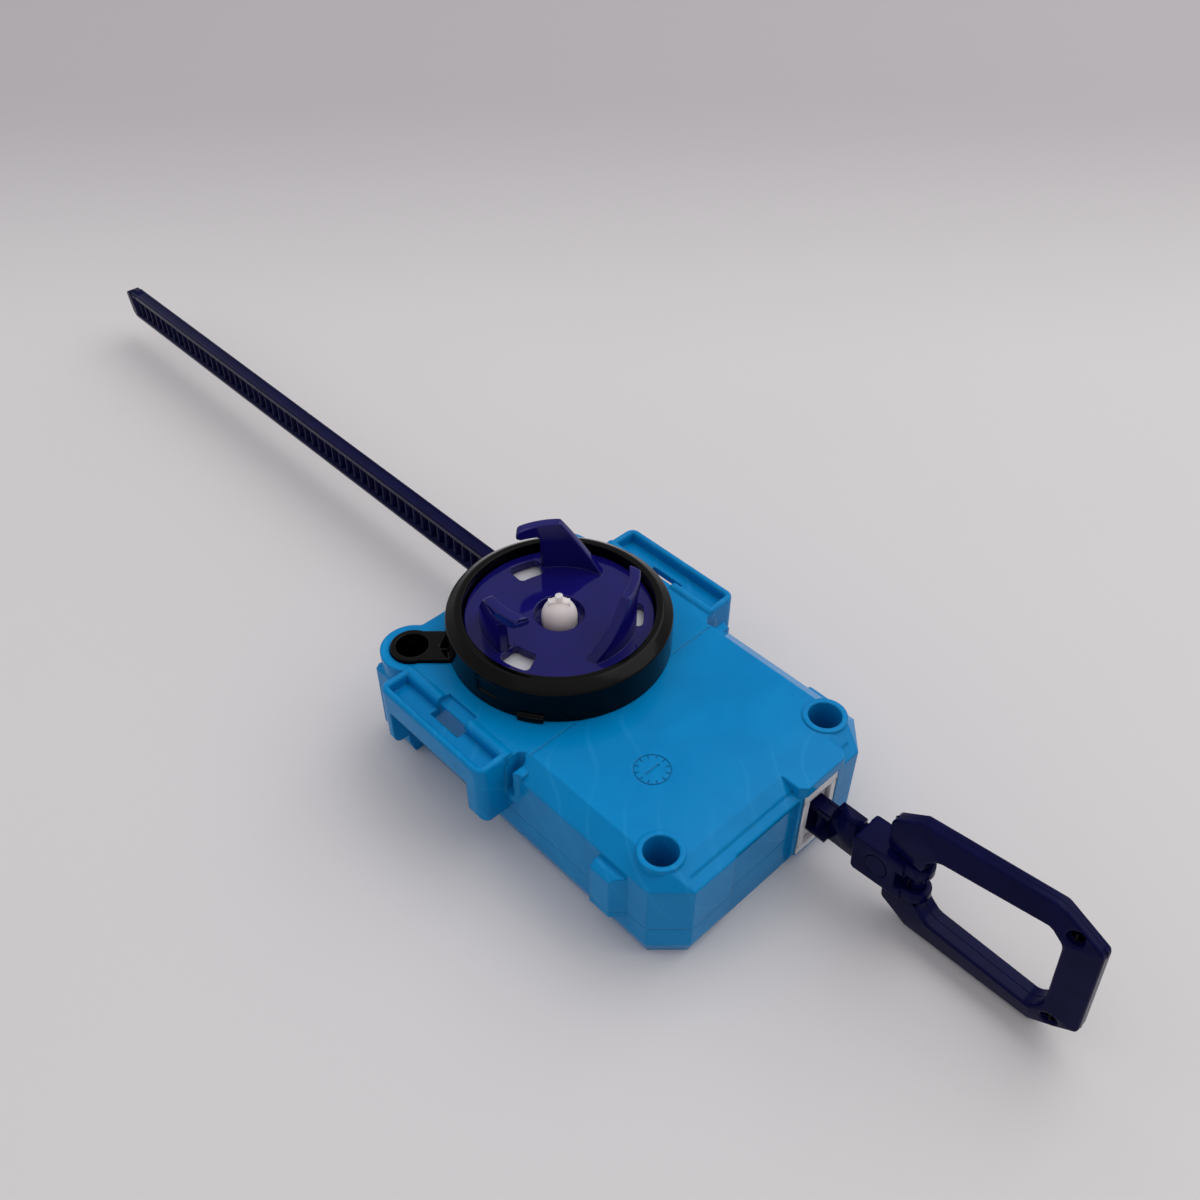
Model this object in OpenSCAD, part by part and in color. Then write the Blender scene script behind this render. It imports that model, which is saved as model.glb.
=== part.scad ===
// Ripcord launcher for a spinning top.
// The origin lies on the spin axis at table height, +X is the pull direction
// and +Z points up through the prongs.

/* [Housing] */
// Height of the deck above the table
deck_h = 23.6; // [21:0.1:28]
// Distance from the spin axis to the cord end wall
end_x = 59.6; // [56:0.1:70]
// Distance from the spin axis to the tail wall
tail_x = 22.4; // [21.8:0.1:24]
// Half width of the wide part
body_hw = 28.7; // [28:0.1:33]
// Inset of the tail behind the rails from the side walls
tail_in = 4.7; // [4.3:0.1:5.5]
// Height of the seam between the two shells
split_h = 8.8; // [8.4:0.1:9.1]
// Wall thickness of both shells
wall = 2.0; // [1.4:0.1:2.4]
// Drop of the sloped band round the deck
band_h = 3.3; // [2:0.1:4]
// Width of the sloped band along the sides
band_w = 3.9; // [3:0.1:4.5]
// Width of the sloped band at the cord end
band_end_w = 5.0; // [4:0.1:5.2]
// Length of the corner cut along X
corner_x = 5.7; // [4:0.1:6.5]
// Length of the corner cut along Y
corner_y = 6.0; // [4:0.1:6.5]
// Where the wide part starts, along X
wide_x = 17.9; // [17.6:0.1:18.4]
// Where the fine crease crosses the deck, along X
crease_x = 19.1; // [18.9:0.1:21]
// Depth and half width of the crease
crease_d = 0.25; // [0.1:0.05:0.5]
// Height of the bevel round the foot of the base
foot_h = 3.4; // [2:0.1:4]
// Inset of the bevel round the foot of the base
foot_w = 1.1; // [0.5:0.1:1.6]
// Depth of the recess in the cord end wall
end_recess = 1.0; // [0.5:0.1:1.4]
// Where that recess starts, on the side away from the cord
end_recess_y = 12.2; // [9:0.1:14]
// Grooves down the side walls at the end of the rails, along X
groove_x = 17.9; // [17.7:0.1:18.1]
// Radius of their round backs
groove_r = 1.05; // [0.8:0.05:1.2]
// Depth of their middle from the side walls
groove_in = 2.2; // [1.6:0.1:2.4]
// Height of the grooves below the deck
groove_h = 8.5; // [6:0.1:10]

/* [Cord outlet block] */
// How far the block stands out past the end wall
block_out = 0.5; // [0.3:0.1:1.5]
// Near side of the block
block_y0 = 5.4; // [5:0.1:6.4]
// Far side of the block
block_y1 = 18.7; // [17.8:0.1:20]
// Bottom of the block above the table
block_low = 2.9; // [1:0.1:3.4]
// Corner cut of the block
block_cut = 1.3; // [0.5:0.1:1.8]
// Width of the white plate
plate_w = 9.4; // [8:0.1:9.8]
// Height of the white plate
plate_h = 17.9; // [16.5:0.1:18]
// Thickness of the white plate
plate_t = 1.6; // [1:0.1:2.4]
// Bevel round the slot of the plate
plate_bevel = 0.8; // [0.3:0.1:1]

/* [Screw wells] */
// Wells at the cord end, along X
well_x = 51.0; // [49:0.1:52]
// Wells at the cord end, distance in from the side walls
well_in = 6.05; // [5.7:0.05:6.4]
// Near tail boss, distance from the spin axis along X
boss_x = 18.5; // [18:0.1:19]
// Near tail boss, distance in from the side wall
boss_in = 4.9; // [4.5:0.1:5.3]
// Far tail boss, distance from the spin axis along X
far_boss_x = 19.2; // [18.8:0.1:19.6]
// Far tail boss, distance in from the side wall
far_boss_in = 10.1; // [9.8:0.1:10.4]
// Radius of the tail bosses
boss_r = 6.6; // [6.4:0.1:6.8]
// Fillet between a tail boss and the tail wall
boss_fillet = 1.4; // [1:0.1:2]
// Front of the square block under the near boss, distance from the spin axis
tail_block_x = 13.7; // [13:0.1:14]
// How far that block stands out past the side wall
tail_block_out = 1.9; // [1.4:0.1:2.4]
// Top of that block below the deck
tail_block_drop = 3.3; // [2.6:0.1:4.5]
// Corner cut along its top
tail_block_cut = 0.8; // [0.4:0.1:1.2]
// Radius of a screw well
well_r = 3.3; // [3:0.05:3.4]
// Radius of the raised rim of a well
rim_r = 4.4; // [4.3:0.1:4.6]
// Height of that rim over the deck
rim_h = 0.25; // [0.1:0.05:0.6]
// Thickness of the floor of a well
well_floor = 3.0; // [2:0.1:4]
// Radius of a screw's head
head_r = 2.7; // [2.2:0.1:2.8]
// Height of a screw's head
head_h = 1.8; // [1.2:0.1:2.2]
// Radius of a screw's shank
shank_r = 1.5; // [1.2:0.05:1.6]
// Depth of a screw in its post
bite = 5.2; // [4:0.1:5.8]

/* [Side rails] */
// Tail end of the rails, distance from the spin axis
rail_x0 = 14.5; // [14:0.1:14.8]
// Cord end of the rails
rail_x1 = 16.6; // [16:0.1:16.8]
// Width of the rails beyond the side walls
rail_w = 6.7; // [6.2:0.1:7.5]
// Thickness of a rail's walls
rail_wall = 1.55; // [1.3:0.05:1.7]
// Height of the rail's rim over the deck
rail_rim = 0.6; // [0.3:0.1:0.7]
// Depth of the tray below the deck
tray_d = 2.0; // [1.5:0.1:2.6]
// Thickness of the tray's floor
tray_t = 1.5; // [1:0.1:2]
// Height of the outer wall of a rail
skirt_h = 5.7; // [5:0.1:6.6]
// Width of the tail leg
leg_w0 = 3.2; // [2.6:0.1:3.6]
// Width of the cord end leg
leg_w1 = 4.2; // [3.4:0.1:4.6]
// Rounding of the outer corners and feet of the rails
rail_round = 2.1; // [1.8:0.1:2.4]
// Width of the round bead along the side wall
bead_w = 2.7; // [2.3:0.1:2.9]
// Middle of that bead, distance in from the side wall
bead_in = 0.65; // [0.5:0.05:0.8]
// Centre of the notch in a rail, along X
notch_x = 0.8; // [0:0.1:1.6]
// Length of the notch
notch_l = 8.4; // [7:0.1:9]
// Width of the notch's hole in the tray
notch_w = 2.5; // [2:0.1:3]
// Depth of the sunk flat beside the notch
flat_d = 0.9; // [0.5:0.1:1.2]
// Width of that flat
flat_w = 2.6; // [2.2:0.1:3]

/* [Wall pads] */
// Start of the pads, along X
pad_x0 = 41.8; // [40:0.1:42.5]
// End of the flat face of a pad
pad_x1 = 46.8; // [46:0.1:47.4]
// Where a pad runs out into the wall
pad_x2 = 49.0; // [48.4:0.1:50]
// How far a pad stands out
pad_out = 2.5; // [2:0.1:3]
// Top of a pad below the deck
pad_drop = 4.5; // [4:0.1:5.5]
// Height of a pad
pad_h = 11.8; // [11:0.1:14]
// Bevel along its top
pad_bevel = 1.1; // [0.7:0.1:1.5]

/* [Mould dial] */
// Dial centre, along X
dial_x = 37.2; // [32:0.1:40]
// Dial centre, distance on the near side
dial_y = 10.8; // [8:0.1:14]
// Dial radius
dial_r = 3.6; // [2.5:0.1:4]
// Depth of its fine grooves
dial_d = 0.2; // [0.1:0.05:0.4]
// Number of ticks
ticks = 12; // [8:1:12]
// Length of a tick
tick_l = 1.0; // [0.6:0.1:1.2]
// Half length of the pointer
pointer_l = 1.8; // [1.2:0.1:2.2]

/* [Collar] */
// Outer radius of the collar
collar_r = 23.0; // [22.6:0.1:23.4]
// Inner radius of the collar
collar_in = 19.5; // [19.4:0.1:20]
// Height of the collar over the deck
collar_h = 9.3; // [8.5:0.1:10]
// Height of the bevel under the lip
collar_bevel_h = 1.6; // [1:0.1:2.4]
// Width of that bevel
collar_bevel_w = 2.1; // [1:0.1:2.4]
// Width of the screw tab
tab_w = 8.3; // [7.6:0.1:8.8]
// Radius of the tab's end
tab_r = 4.5; // [4.4:0.05:4.8]
// Direction of the tab from its screw towards the collar
tab_dir = 46.4; // [44:0.1:50]
// Height of the tab over the deck
tab_h = 0.85; // [0.5:0.05:1.2]
// Depth of the pocket that the tab lies in
tab_sink = 0.6; // [0.4:0.05:0.8]
// Thickness of the fin that braces the tab
fin_t = 1.0; // [0.8:0.1:1.3]
// How far the fin stands out from the collar
fin_out = 1.8; // [1.2:0.1:2.2]
// How far the bayonet lug stands out
lug_out = 0.8; // [0.5:0.1:1]
// Angle where the bayonet lug starts
lug_a = -63; // [-65:1:-61]
// Sweep of the bayonet lug
lug_sweep = 13; // [11:1:15]
// Angle where the shallow sinking in the wall starts
patch_a = -86; // [-88:1:-84]
// Sweep of that sinking
patch_sweep = 12; // [10:1:14]
// Depth of the sinking
patch_d = 0.35; // [0.2:0.05:0.5]
// Height of the sinking
patch_h = 2.8; // [2.2:0.1:3.2]
// Bottom of the sinking over the deck
patch_low = 3.25; // [2.8:0.05:3.6]
// Outer radius of the tab's socket
socket_r = 4.3; // [4.1:0.1:4.6]
// Depth of the socket below the deck
socket_d = 8.0; // [5:0.1:9]
// Floor of the socket
socket_t = 1.4; // [1:0.1:2]

/* [Rotor] */
// Radius of the prong disc
disc_r = 19.2; // [18.6:0.1:19.3]
// Height of the disc's face over the deck
disc_h = 7.0; // [6.6:0.1:7.6]
// Thickness of the disc
disc_t = 2.0; // [1.6:0.1:2.2]
// Radius of the well in the middle of the disc
hub_well_r = 5.1; // [4.8:0.1:5.4]
// Number of prongs
prongs = 3; // [3:1:3]
// Inner radius of a prong
prong_in = 14.0; // [13.6:0.1:14.4]
// Outer radius of a prong
prong_out = 16.1; // [15.7:0.1:16.6]
// Height of a prong over the disc
prong_h = 11.5; // [10:0.1:13]
// Clear height under a prong's finger
finger_clear = 8.4; // [7:0.1:8.8]
// Angle where a prong's base starts
prong_a0 = -20; // [-24:1:-16]
// Angle where its top starts
prong_a1 = 16; // [12:1:20]
// Angle where its stem ends
prong_a2 = 32.5; // [31:0.5:33]
// Angle of the finger's tip
prong_a3 = 52.5; // [50:0.5:56]
// Corner cut under the finger's tip
tip_cut = 0.9; // [0.5:0.1:1.1]
// Small corner cut over the tip and in the finger's root
tip_soft = 0.5; // [0.3:0.1:0.6]
// Start angle of a window in the disc
slot_a0 = 33.5; // [33:0.5:36]
// End angle of a window
slot_a1 = 57.0; // [54:0.5:60]
// Inner radius of a window
slot_in = 12.3; // [11.8:0.1:12.8]
// Outer radius of a window
slot_out = 17.0; // [16.6:0.1:17.4]
// Rounding of a window's corners
slot_round = 1.0; // [0.6:0.1:1.1]
// Radius of the white plate under the disc
ratchet_r = 18.0; // [17.4:0.1:18.8]
// Thickness of the white plate
ratchet_t = 1.5; // [1:0.1:1.8]
// Radius of the rotor shaft
shaft_r = 4.2; // [4:0.05:4.6]
// Radius of its lower journal
journal_r = 2.0; // [1.6:0.05:2.4]

/* [Plunger] */
// Radius of the plunger
hub_r = 3.65; // [3.4:0.05:3.8]
// Height of the plunger's shoulder over the disc
hub_h = 0.3; // [0:0.1:0.8]
// Radius of its crown
crown_r = 2.2; // [1.8:0.1:2.6]
// Height of the crown over the disc
crown_h = 2.2; // [1.8:0.1:3]
// Radius of the knob
knob_r = 0.8; // [0.6:0.1:1.2]
// Height of the knob over the disc
knob_h = 4.8; // [4:0.1:5.4]
// Travel of the plunger
hub_travel = 1.5; // [1:0.1:1.6]
// Radius of the plunger's stem
stem_r = 1.6; // [1.4:0.05:1.7]
// Wire diameter of the spring
wire_d = 0.6; // [0.4:0.05:0.7]
// Depth of the cup that the spring stands in
cup_depth = 7.8; // [7:0.1:8.2]
// Depth of the bore of the stem below the top of the gear
stem_room = 1.6; // [1:0.1:2.4]
// Turns of the spring
turns = 6; // [4:1:8]

/* [Gear train] */
// Gear module
module_size = 1.0; // [0.95:0.01:1.05]
// Teeth on the rotor gear and on the idler
teeth = 12; // [12:1:12]
// Pressure angle
pressure = 25; // [24:0.5:26]
// Tooth height above the pitch line
addendum = 0.8; // [0.7:0.05:0.85]
// Tooth depth below the pitch line
dedendum = 1.15; // [1.1:0.05:1.25]
// Play between teeth
backlash = 0.2; // [0.15:0.01:0.3]
// Face width of the gears
gear_w = 5.2; // [4.6:0.1:5.2]
// Radius of the idler's axle
axle_r = 1.5; // [1.3:0.05:1.7]
// Radius of the idler's hub
idler_hub_r = 3.0; // [2.6:0.1:3.4]

/* [Ripcord] */
// Distance from the spin axis to the free tip
cord_tip = 206; // [190:1:240]
// Depth of the strip, front to back
cord_w = 3.35; // [3.2:0.05:3.5]
// Height of the strip
cord_h = 8.2; // [8.2:0.05:8.4]
// Back face of the strip, along Y
cord_back = 12.85; // [12.8:0.05:13]
// Middle of the strip above the table
cord_z = 12.1; // [12:0.05:12.2]
// Thickness of the upper flange
flange_top = 1.4; // [1.2:0.05:1.4]
// Thickness of the lower flange
flange_low = 1.2; // [1:0.05:1.2]
// Thickness of the strip behind the teeth
web_t = 0.95; // [0.9:0.05:1.1]
// Slant at the free tip
tip_slant = 2.6; // [1:0.1:4]
// Height of the fine ridges on the upper flange
ridge_h = 0.2; // [0.1:0.05:0.3]
// Width of those ridges
ridge_w = 0.5; // [0.3:0.05:0.8]
// Start of the plain neck, along X
neck_x0 = 63.8; // [63:0.1:65]
// End of the neck
neck_x1 = 69.3; // [69:0.1:69.4]
// Width of the neck
neck_w = 3.3; // [3:0.05:3.4]
// Height of the neck
neck_h = 8.45; // [8:0.05:8.6]
// Middle of the neck above the table
neck_z = 12.6; // [12.4:0.05:12.8]

/* [Swivel head] */
// Middle plane of neck, head and handle, along Y
pull_y = 12.25; // [12:0.05:12.4]
// Pin of the head, along X
pin_x = 75.5; // [75.3:0.1:76]
// Pin of the head above the table
pin_z = 13.6; // [13.5:0.05:13.8]
// Rise of head and handle at rest
rise = 4.6; // [4:0.1:5]
// Radius of the pin
pin_r = 2.25; // [2:0.05:2.4]
// Length of the head behind and before the pin
head_l = 5.5; // [5.2:0.1:5.6]
// Width of the head
head_w = 7.0; // [6.6:0.1:7.6]
// Top of the head over the pin
head_up = 4.2; // [4.1:0.05:4.3]
// Bottom of the head below the pin
head_down = 4.9; // [4.8:0.05:5]
// Radius of the tongue's round eye inside the head
tongue_r = 3.2; // [3:0.05:3.3]
// Half height of the tongue's stem
tongue_hh = 2.2; // [1.8:0.1:2.5]
// Half height of the room for the tongue
throat_hh = 3.65; // [3.6:0.05:3.75]
// Distance from the pin to the spindle of the handle
eye_x = 6.9; // [6.7:0.1:7.2]
// Radius of the eyes of the head
eye_r = 2.7; // [2.4:0.1:2.9]
// Thickness of each eye
eye_t = 2.5; // [2:0.1:2.8]

/* [Handle] */
// Near end of the loop, from the pin
loop_x0 = 0.5; // [0.3:0.1:0.8]
// Length of the loop
loop_l = 40.6; // [38:0.1:46]
// Middle of the loop over the pin
loop_z = 0.76; // [0.7:0.02:0.9]
// Half height of the loop at its near end
loop_h0 = 14.6; // [13.5:0.1:14.7]
// Half height of the loop at its far end
loop_h1 = 16.2; // [14.5:0.1:16.6]
// Near corner cut, along the loop
near_cut_x = 5.8; // [5:0.1:6.4]
// Near corner cut, across the loop
near_cut_z = 3.7; // [3:0.1:4.4]
// Far corner cut, along the loop
far_cut_x = 8.5; // [7:0.1:9]
// Far corner cut, across the loop
far_cut_z = 5.2; // [4:0.1:5.8]
// Length of the near bar
near_bar = 8.2; // [8:0.1:8.6]
// Length of the far bar
far_bar = 6.4; // [5.5:0.1:7]
// Half height of the hole at its near end
hole_h0 = 8.9; // [8:0.1:9.4]
// Half height of the hole at its far end
hole_h1 = 11.3; // [10:0.1:11.6]
// Corner cut of the hole
hole_cut = 2.6; // [2:0.1:3.2]
// Half thickness of the loop at its rim
rim_ht = 1.35; // [1.2:0.05:1.6]
// Half thickness of the loop at its hole
hole_ht = 2.35; // [2.2:0.05:2.6]
// Radius of the spindle
spindle_r = 1.3; // [1.1:0.05:1.4]
// Length of the spindle inside each jaw
spindle_in = 4.5; // [3:0.1:5]
// Radius of the screw holes of the handle
grip_hole_r = 1.5; // [1.3:0.05:1.7]
// Screw holes, from the far end
grip_hole_x = 5.0; // [4.6:0.1:5.6]
// Screw holes, from the middle of the loop
grip_hole_z = 11.6; // [11:0.1:12]

/* [Clearances] */
// Radial play of turning and sliding round parts
run = 0.05; // [0.03:0.01:0.08]
// Play of the strip in its slots
cord_play = 0.15; // [0.1:0.01:0.2]
// Gap between fitted parts that do not move
fit = 0.03; // [0.02:0.01:0.05]
// Gap between moving faces
gap = 0.2; // [0.15:0.01:0.25]

/* [Hidden] */

$fn = 96;
over = 1;
blue = "#1487C8";
navy = "#1B1C55";
violet = "#37307F";
black = "#15161A";
milk = "#E9E9EA";
steel = "#B9BCC0";

band_z = deck_h - band_h;
deck_hw = body_hw - band_w;
tail_hw = body_hw - tail_in;
well_y = body_hw - well_in;
boss_y = body_hw - boss_in;
far_boss_y = body_hw - far_boss_in;
rail_out = body_hw + rail_w;
rim_z = deck_h + rail_rim;
tray_z = deck_h - tray_d;
skirt_z = rim_z - skirt_h;
leg_low = split_h + gap;
notch_x0 = notch_x - notch_l / 2;
notch_x1 = notch_x + notch_l / 2;
deck_end = end_x - band_end_w;
deck_under = deck_h - wall;
disc_z = deck_h + disc_h;
disc_low = disc_z - disc_t;
lip_z = deck_h + collar_h;
floor_h = wall;
block_x = end_x + block_out;
plate_z = cord_z;
cord_front = cord_back - cord_w;
cord_mid = cord_back - cord_w / 2;
cord_low = cord_z - cord_h / 2;
cord_top = cord_z + cord_h / 2;
well_low = split_h + well_floor;
socket_z = deck_h - socket_d;

pitch = PI * module_size;
pitch_r = teeth * module_size / 2;
half_pitch = 180 / teeth;
root_line = cord_back - web_t;
pitch_line = root_line - dedendum - backlash / 2;
idler_y = pitch_line - pitch_r;
idler_x = sqrt(pow(2 * pitch_r, 2) - pow(idler_y, 2));
idler_dir = atan2(idler_y, idler_x);
idler_phase = 90 + half_pitch;
rotor_phase = 2 * idler_dir + 180 - idler_phase + half_pitch;
gear_z = cord_z - gear_w / 2 + (flange_low - flange_top) / 2;
rack_last = floor((neck_x0 - pitch / 2 - idler_x) / pitch);
rack_first = ceil((pitch / 2 + tip_slant - cord_tip - idler_x) / pitch);

// Stack of the rotor above the deck, from the flange of the gear upwards
flange_z = deck_h + gap;
flange_t = 1.0;
seat_z = flange_z + flange_t;
neck_r = 6.2;
ledge_t = 1.2;
ledge_z = disc_low - ledge_t;
ratchet_z = disc_low - gap - ratchet_t;
ratchet_hub_r = 8.0;
hub_flange_r = 4.4;
hub_flange_t = 1.0;
hub_flange_z = ledge_z - gap / 2 - hub_flange_t;
spring_r = 2.4;
cup_r = 3.1;
cup_z = seat_z - cup_depth;
stem_floor = gear_z + gear_w - stem_room;

spring_rings = 8;
wire_sides = 6;
flank_steps = 5;
arc_steps = 6;
guide_count = 4;
tip_share = 0.8;
slot_share = 1.2;
web_share = 0.85;

function polar(r, a) = r * [cos(a), sin(a)];
// Points of an arc about c from angle a0 to a1
function arc(c, r, a0, a1) = [for (i = [0:arc_steps]) c + polar(r, a0 + (a1 - a0) * i / arc_steps)];

module at_wells() {
    for (s = [-1, 1]) translate([well_x, s * well_y, 0]) children();
}

module at_near_boss() {
    translate([-boss_x, -boss_y, 0]) children();
}

module at_far_boss() {
    translate([-far_boss_x, far_boss_y, 0]) children();
}

// Outline of the wide part, drawn in by d at the walls
module wide_outline(d = 0) {
    polygon([
        [wide_x + d, d - body_hw],
        [end_x - corner_x - d / 2, d - body_hw],
        [end_x - d, corner_y - body_hw + d / 2],
        [end_x - d, body_hw - corner_y - d / 2],
        [end_x - corner_x - d / 2, body_hw - d],
        [wide_x + d, body_hw - d]]);
}

// Outline of the part between the rails, with the tail behind it and its two bosses
module tail_outline() {
    translate([-rail_x0, -body_hw]) square([rail_x0 + wide_x, 2 * body_hw]);
    translate([-tail_x, -tail_hw]) square([tail_x, 2 * tail_hw]);
    at_near_boss() circle(boss_r);
    at_far_boss() circle(boss_r);
    mirror([0, 1]) boss_web(boss_x, boss_y);
    boss_web(far_boss_x, far_boss_y);
}

// Concave fillet that leads the tail wall into a boss
module boss_web(bx, by) {
    reach = boss_r + boss_fillet;
    fx = -tail_x - boss_fillet;
    fy = by - sqrt(pow(reach, 2) - pow(fx + bx, 2));
    toward = atan2(by - fy, -bx - fx);
    polygon(concat([[wall - tail_x, fy]], arc([fx, fy], boss_fillet, 0, toward * web_share),
        [[fx, fy] + polar(boss_fillet + crease_d, toward), [-bx, by]]));
}

module slab(z0, z1) {
    translate([0, 0, z0]) linear_extrude(z1 - z0) children();
}

// Box between two corners
module box(a, b) {
    translate(a) cube(b - a);
}

// Room inside both shells
module cavity(z0, z1) {
    slab(z0, z1) {
        translate([wall - tail_x, wall - tail_hw]) square([tail_x, 2 * (tail_hw - wall)]);
        translate([wall - rail_x0, wall - body_hw]) square([rail_x0 + wide_x, 2 * (body_hw - wall)]);
        wide_outline(wall);
    }
}

// Slot that the strip runs through, from x0 to x1
module cord_slot(x0, x1) {
    box([x0, cord_front - cord_play, cord_low - cord_play],
        [x1, cord_back + cord_play, cord_top + cord_play]);
}

module wide_block() {
    slab(split_h, band_z) wide_outline();
    hull() {
        slab(band_z - crease_d, band_z) wide_outline();
        box([wide_x, -deck_hw, deck_h - crease_d], [deck_end, deck_hw, deck_h]);
    }
}

module outlet_block(z0, z1) {
    slab(z0, z1) polygon([
        [deck_end, block_y0], [block_x - block_cut, block_y0], [block_x, block_y0 + block_cut],
        [block_x, block_y1 - block_cut], [block_x - block_cut, block_y1], [deck_end, block_y1]]);
}

module plate_pocket(play) {
    box([block_x - plate_t - play, cord_mid - plate_w / 2 - play, plate_z - plate_h / 2 - play],
        [block_x + over, cord_mid + plate_w / 2 + play, plate_z + plate_h / 2 + play]);
}

// Pad on the near wall, between two heights
module wall_pad(z0, z1) {
    top = deck_h - pad_drop;
    intersection() {
        slab(z0, z1) polygon([
            [pad_x0, crease_d - body_hw], [pad_x0, -body_hw - pad_out],
            [pad_x1, -body_hw - pad_out], [pad_x2, -body_hw], [pad_x2, crease_d - body_hw]]);
        rotate([90, 0, 90]) slab(pad_x0, pad_x2) polygon([
            [crease_d - body_hw, top - pad_h], [-body_hw - pad_out, top - pad_h],
            [-body_hw - pad_out, top - pad_bevel], [pad_bevel - body_hw - pad_out, top],
            [crease_d - body_hw, top]]);
    }
}

// Square block under the near tail boss, from z0 up to its top
module tail_block(z0) {
    top = deck_h - tail_block_drop;
    face = -body_hw - tail_block_out;
    rotate([90, 0, 90]) slab(-tail_x, -tail_block_x) polygon([
        [wall - tail_hw, z0], [face, z0], [face, top - tail_block_cut],
        [face + tail_block_cut, top], [wall - tail_hw, top]]);
}

// Outline of a rail seen from above, drawn in by d, with rounded outer corners
module rail_outline(d = 0) {
    r = rail_round - d;
    y0 = d - rail_out;
    y1 = crease_d - body_hw;
    x0 = d - rail_x0;
    x1 = rail_x1 - d;
    translate([x0 + r, y0]) square([x1 - x0 - 2 * r, y1 - y0]);
    translate([x0, y0 + r]) square([x1 - x0, y1 - y0 - r]);
    for (x = [x0 + r, x1 - r]) translate([x, y0 + r]) circle(r, $fn = 48);
}

// Leg under one end of a rail, with its foot rounded on the outer side
module rail_leg(x0, x1) {
    intersection() {
        slab(leg_low, tray_z) rail_outline();
        rotate([90, 0, 90]) slab(x0, x1) union() {
            translate([-rail_out, leg_low + rail_round]) square([rail_w + crease_d, tray_z]);
            translate([rail_round - rail_out, leg_low]) square([rail_w + crease_d - rail_round, tray_z]);
            translate([rail_round - rail_out, leg_low + rail_round]) circle(rail_round, $fn = 48);
        }
    }
}

// Upright profile of a rim w wide, with a half round top
module rim_profile(w) {
    r = w / 2;
    polygon(concat([[-r, tray_z - crease_d], [r, tray_z - crease_d]], arc([0, rim_z - r], r, 0, 180)));
}

// Side rail on the near side: a tray with a rim all round and two legs
module side_rail() {
    mid = rail_wall / 2;
    difference() {
        slab(skirt_z, tray_z) rail_outline();
        slab(skirt_z - over, tray_z - tray_t) rail_outline(rail_wall);
    }
    rail_leg(-rail_x0, leg_w0 - rail_x0);
    rail_leg(rail_x1 - leg_w1, rail_x1);
    for (x = [mid - rail_x0, rail_x1 - mid]) rotate([90, 0, 0])
        slab(body_hw - bead_in, rail_out - rail_round) translate([x, 0]) rim_profile(rail_wall);
    rotate([90, 0, 90]) slab(rail_round - rail_x0, rail_x1 - rail_round)
        translate([mid - rail_out, 0]) rim_profile(rail_wall);
    for (corner = [[rail_round - rail_x0, 180], [rail_x1 - rail_round, 270]])
        translate([corner[0], rail_round - rail_out, 0]) rotate(corner[1])
            rotate_extrude(angle = 90, $fn = 48) translate([rail_round - mid, 0]) rim_profile(rail_wall);
    for (span = [[-rail_x0, notch_x0], [notch_x1, rail_x1]]) rotate([90, 0, 90])
        slab(span[0], span[1]) translate([bead_in - body_hw, 0]) rim_profile(bead_w);
}

// Notch through the tray of the near rail, with its sunk flat
module rail_notch() {
    box([notch_x0, -body_hw - notch_w, split_h], [notch_x1, -body_hw, deck_h + over]);
    box([notch_x0, -body_hw - over, deck_h - flat_d], [notch_x1, flat_w - body_hw, deck_h + over]);
}

// Groove with a round back down the near wall, grown by d
module side_groove(d, z0, z1) {
    slab(z0, z1) {
        translate([groove_x, groove_in - body_hw]) circle(groove_r + d, $fn = 48);
        translate([groove_x - groove_r - d, -body_hw - (d > 0 ? 0 : over)])
            square([2 * (groove_r + d), groove_in + (d > 0 ? 0 : over)]);
    }
}

module dial_grooves() {
    w = dial_d;
    translate([dial_x, -dial_y, deck_h - dial_d]) {
        difference() {
            cylinder(h = over, r = dial_r);
            translate([0, 0, -over]) cylinder(h = 3 * over, r = dial_r - w);
        }
        for (i = [0:ticks - 1]) rotate(i * 360 / ticks)
            box([dial_r - tick_l, -w / 2, 0], [dial_r - w / 2, w / 2, over]);
        box([-w, -pointer_l, 0], [w, pointer_l, over]);
    }
}

module both_sides() {
    children();
    mirror([0, 1, 0]) children();
}

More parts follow.
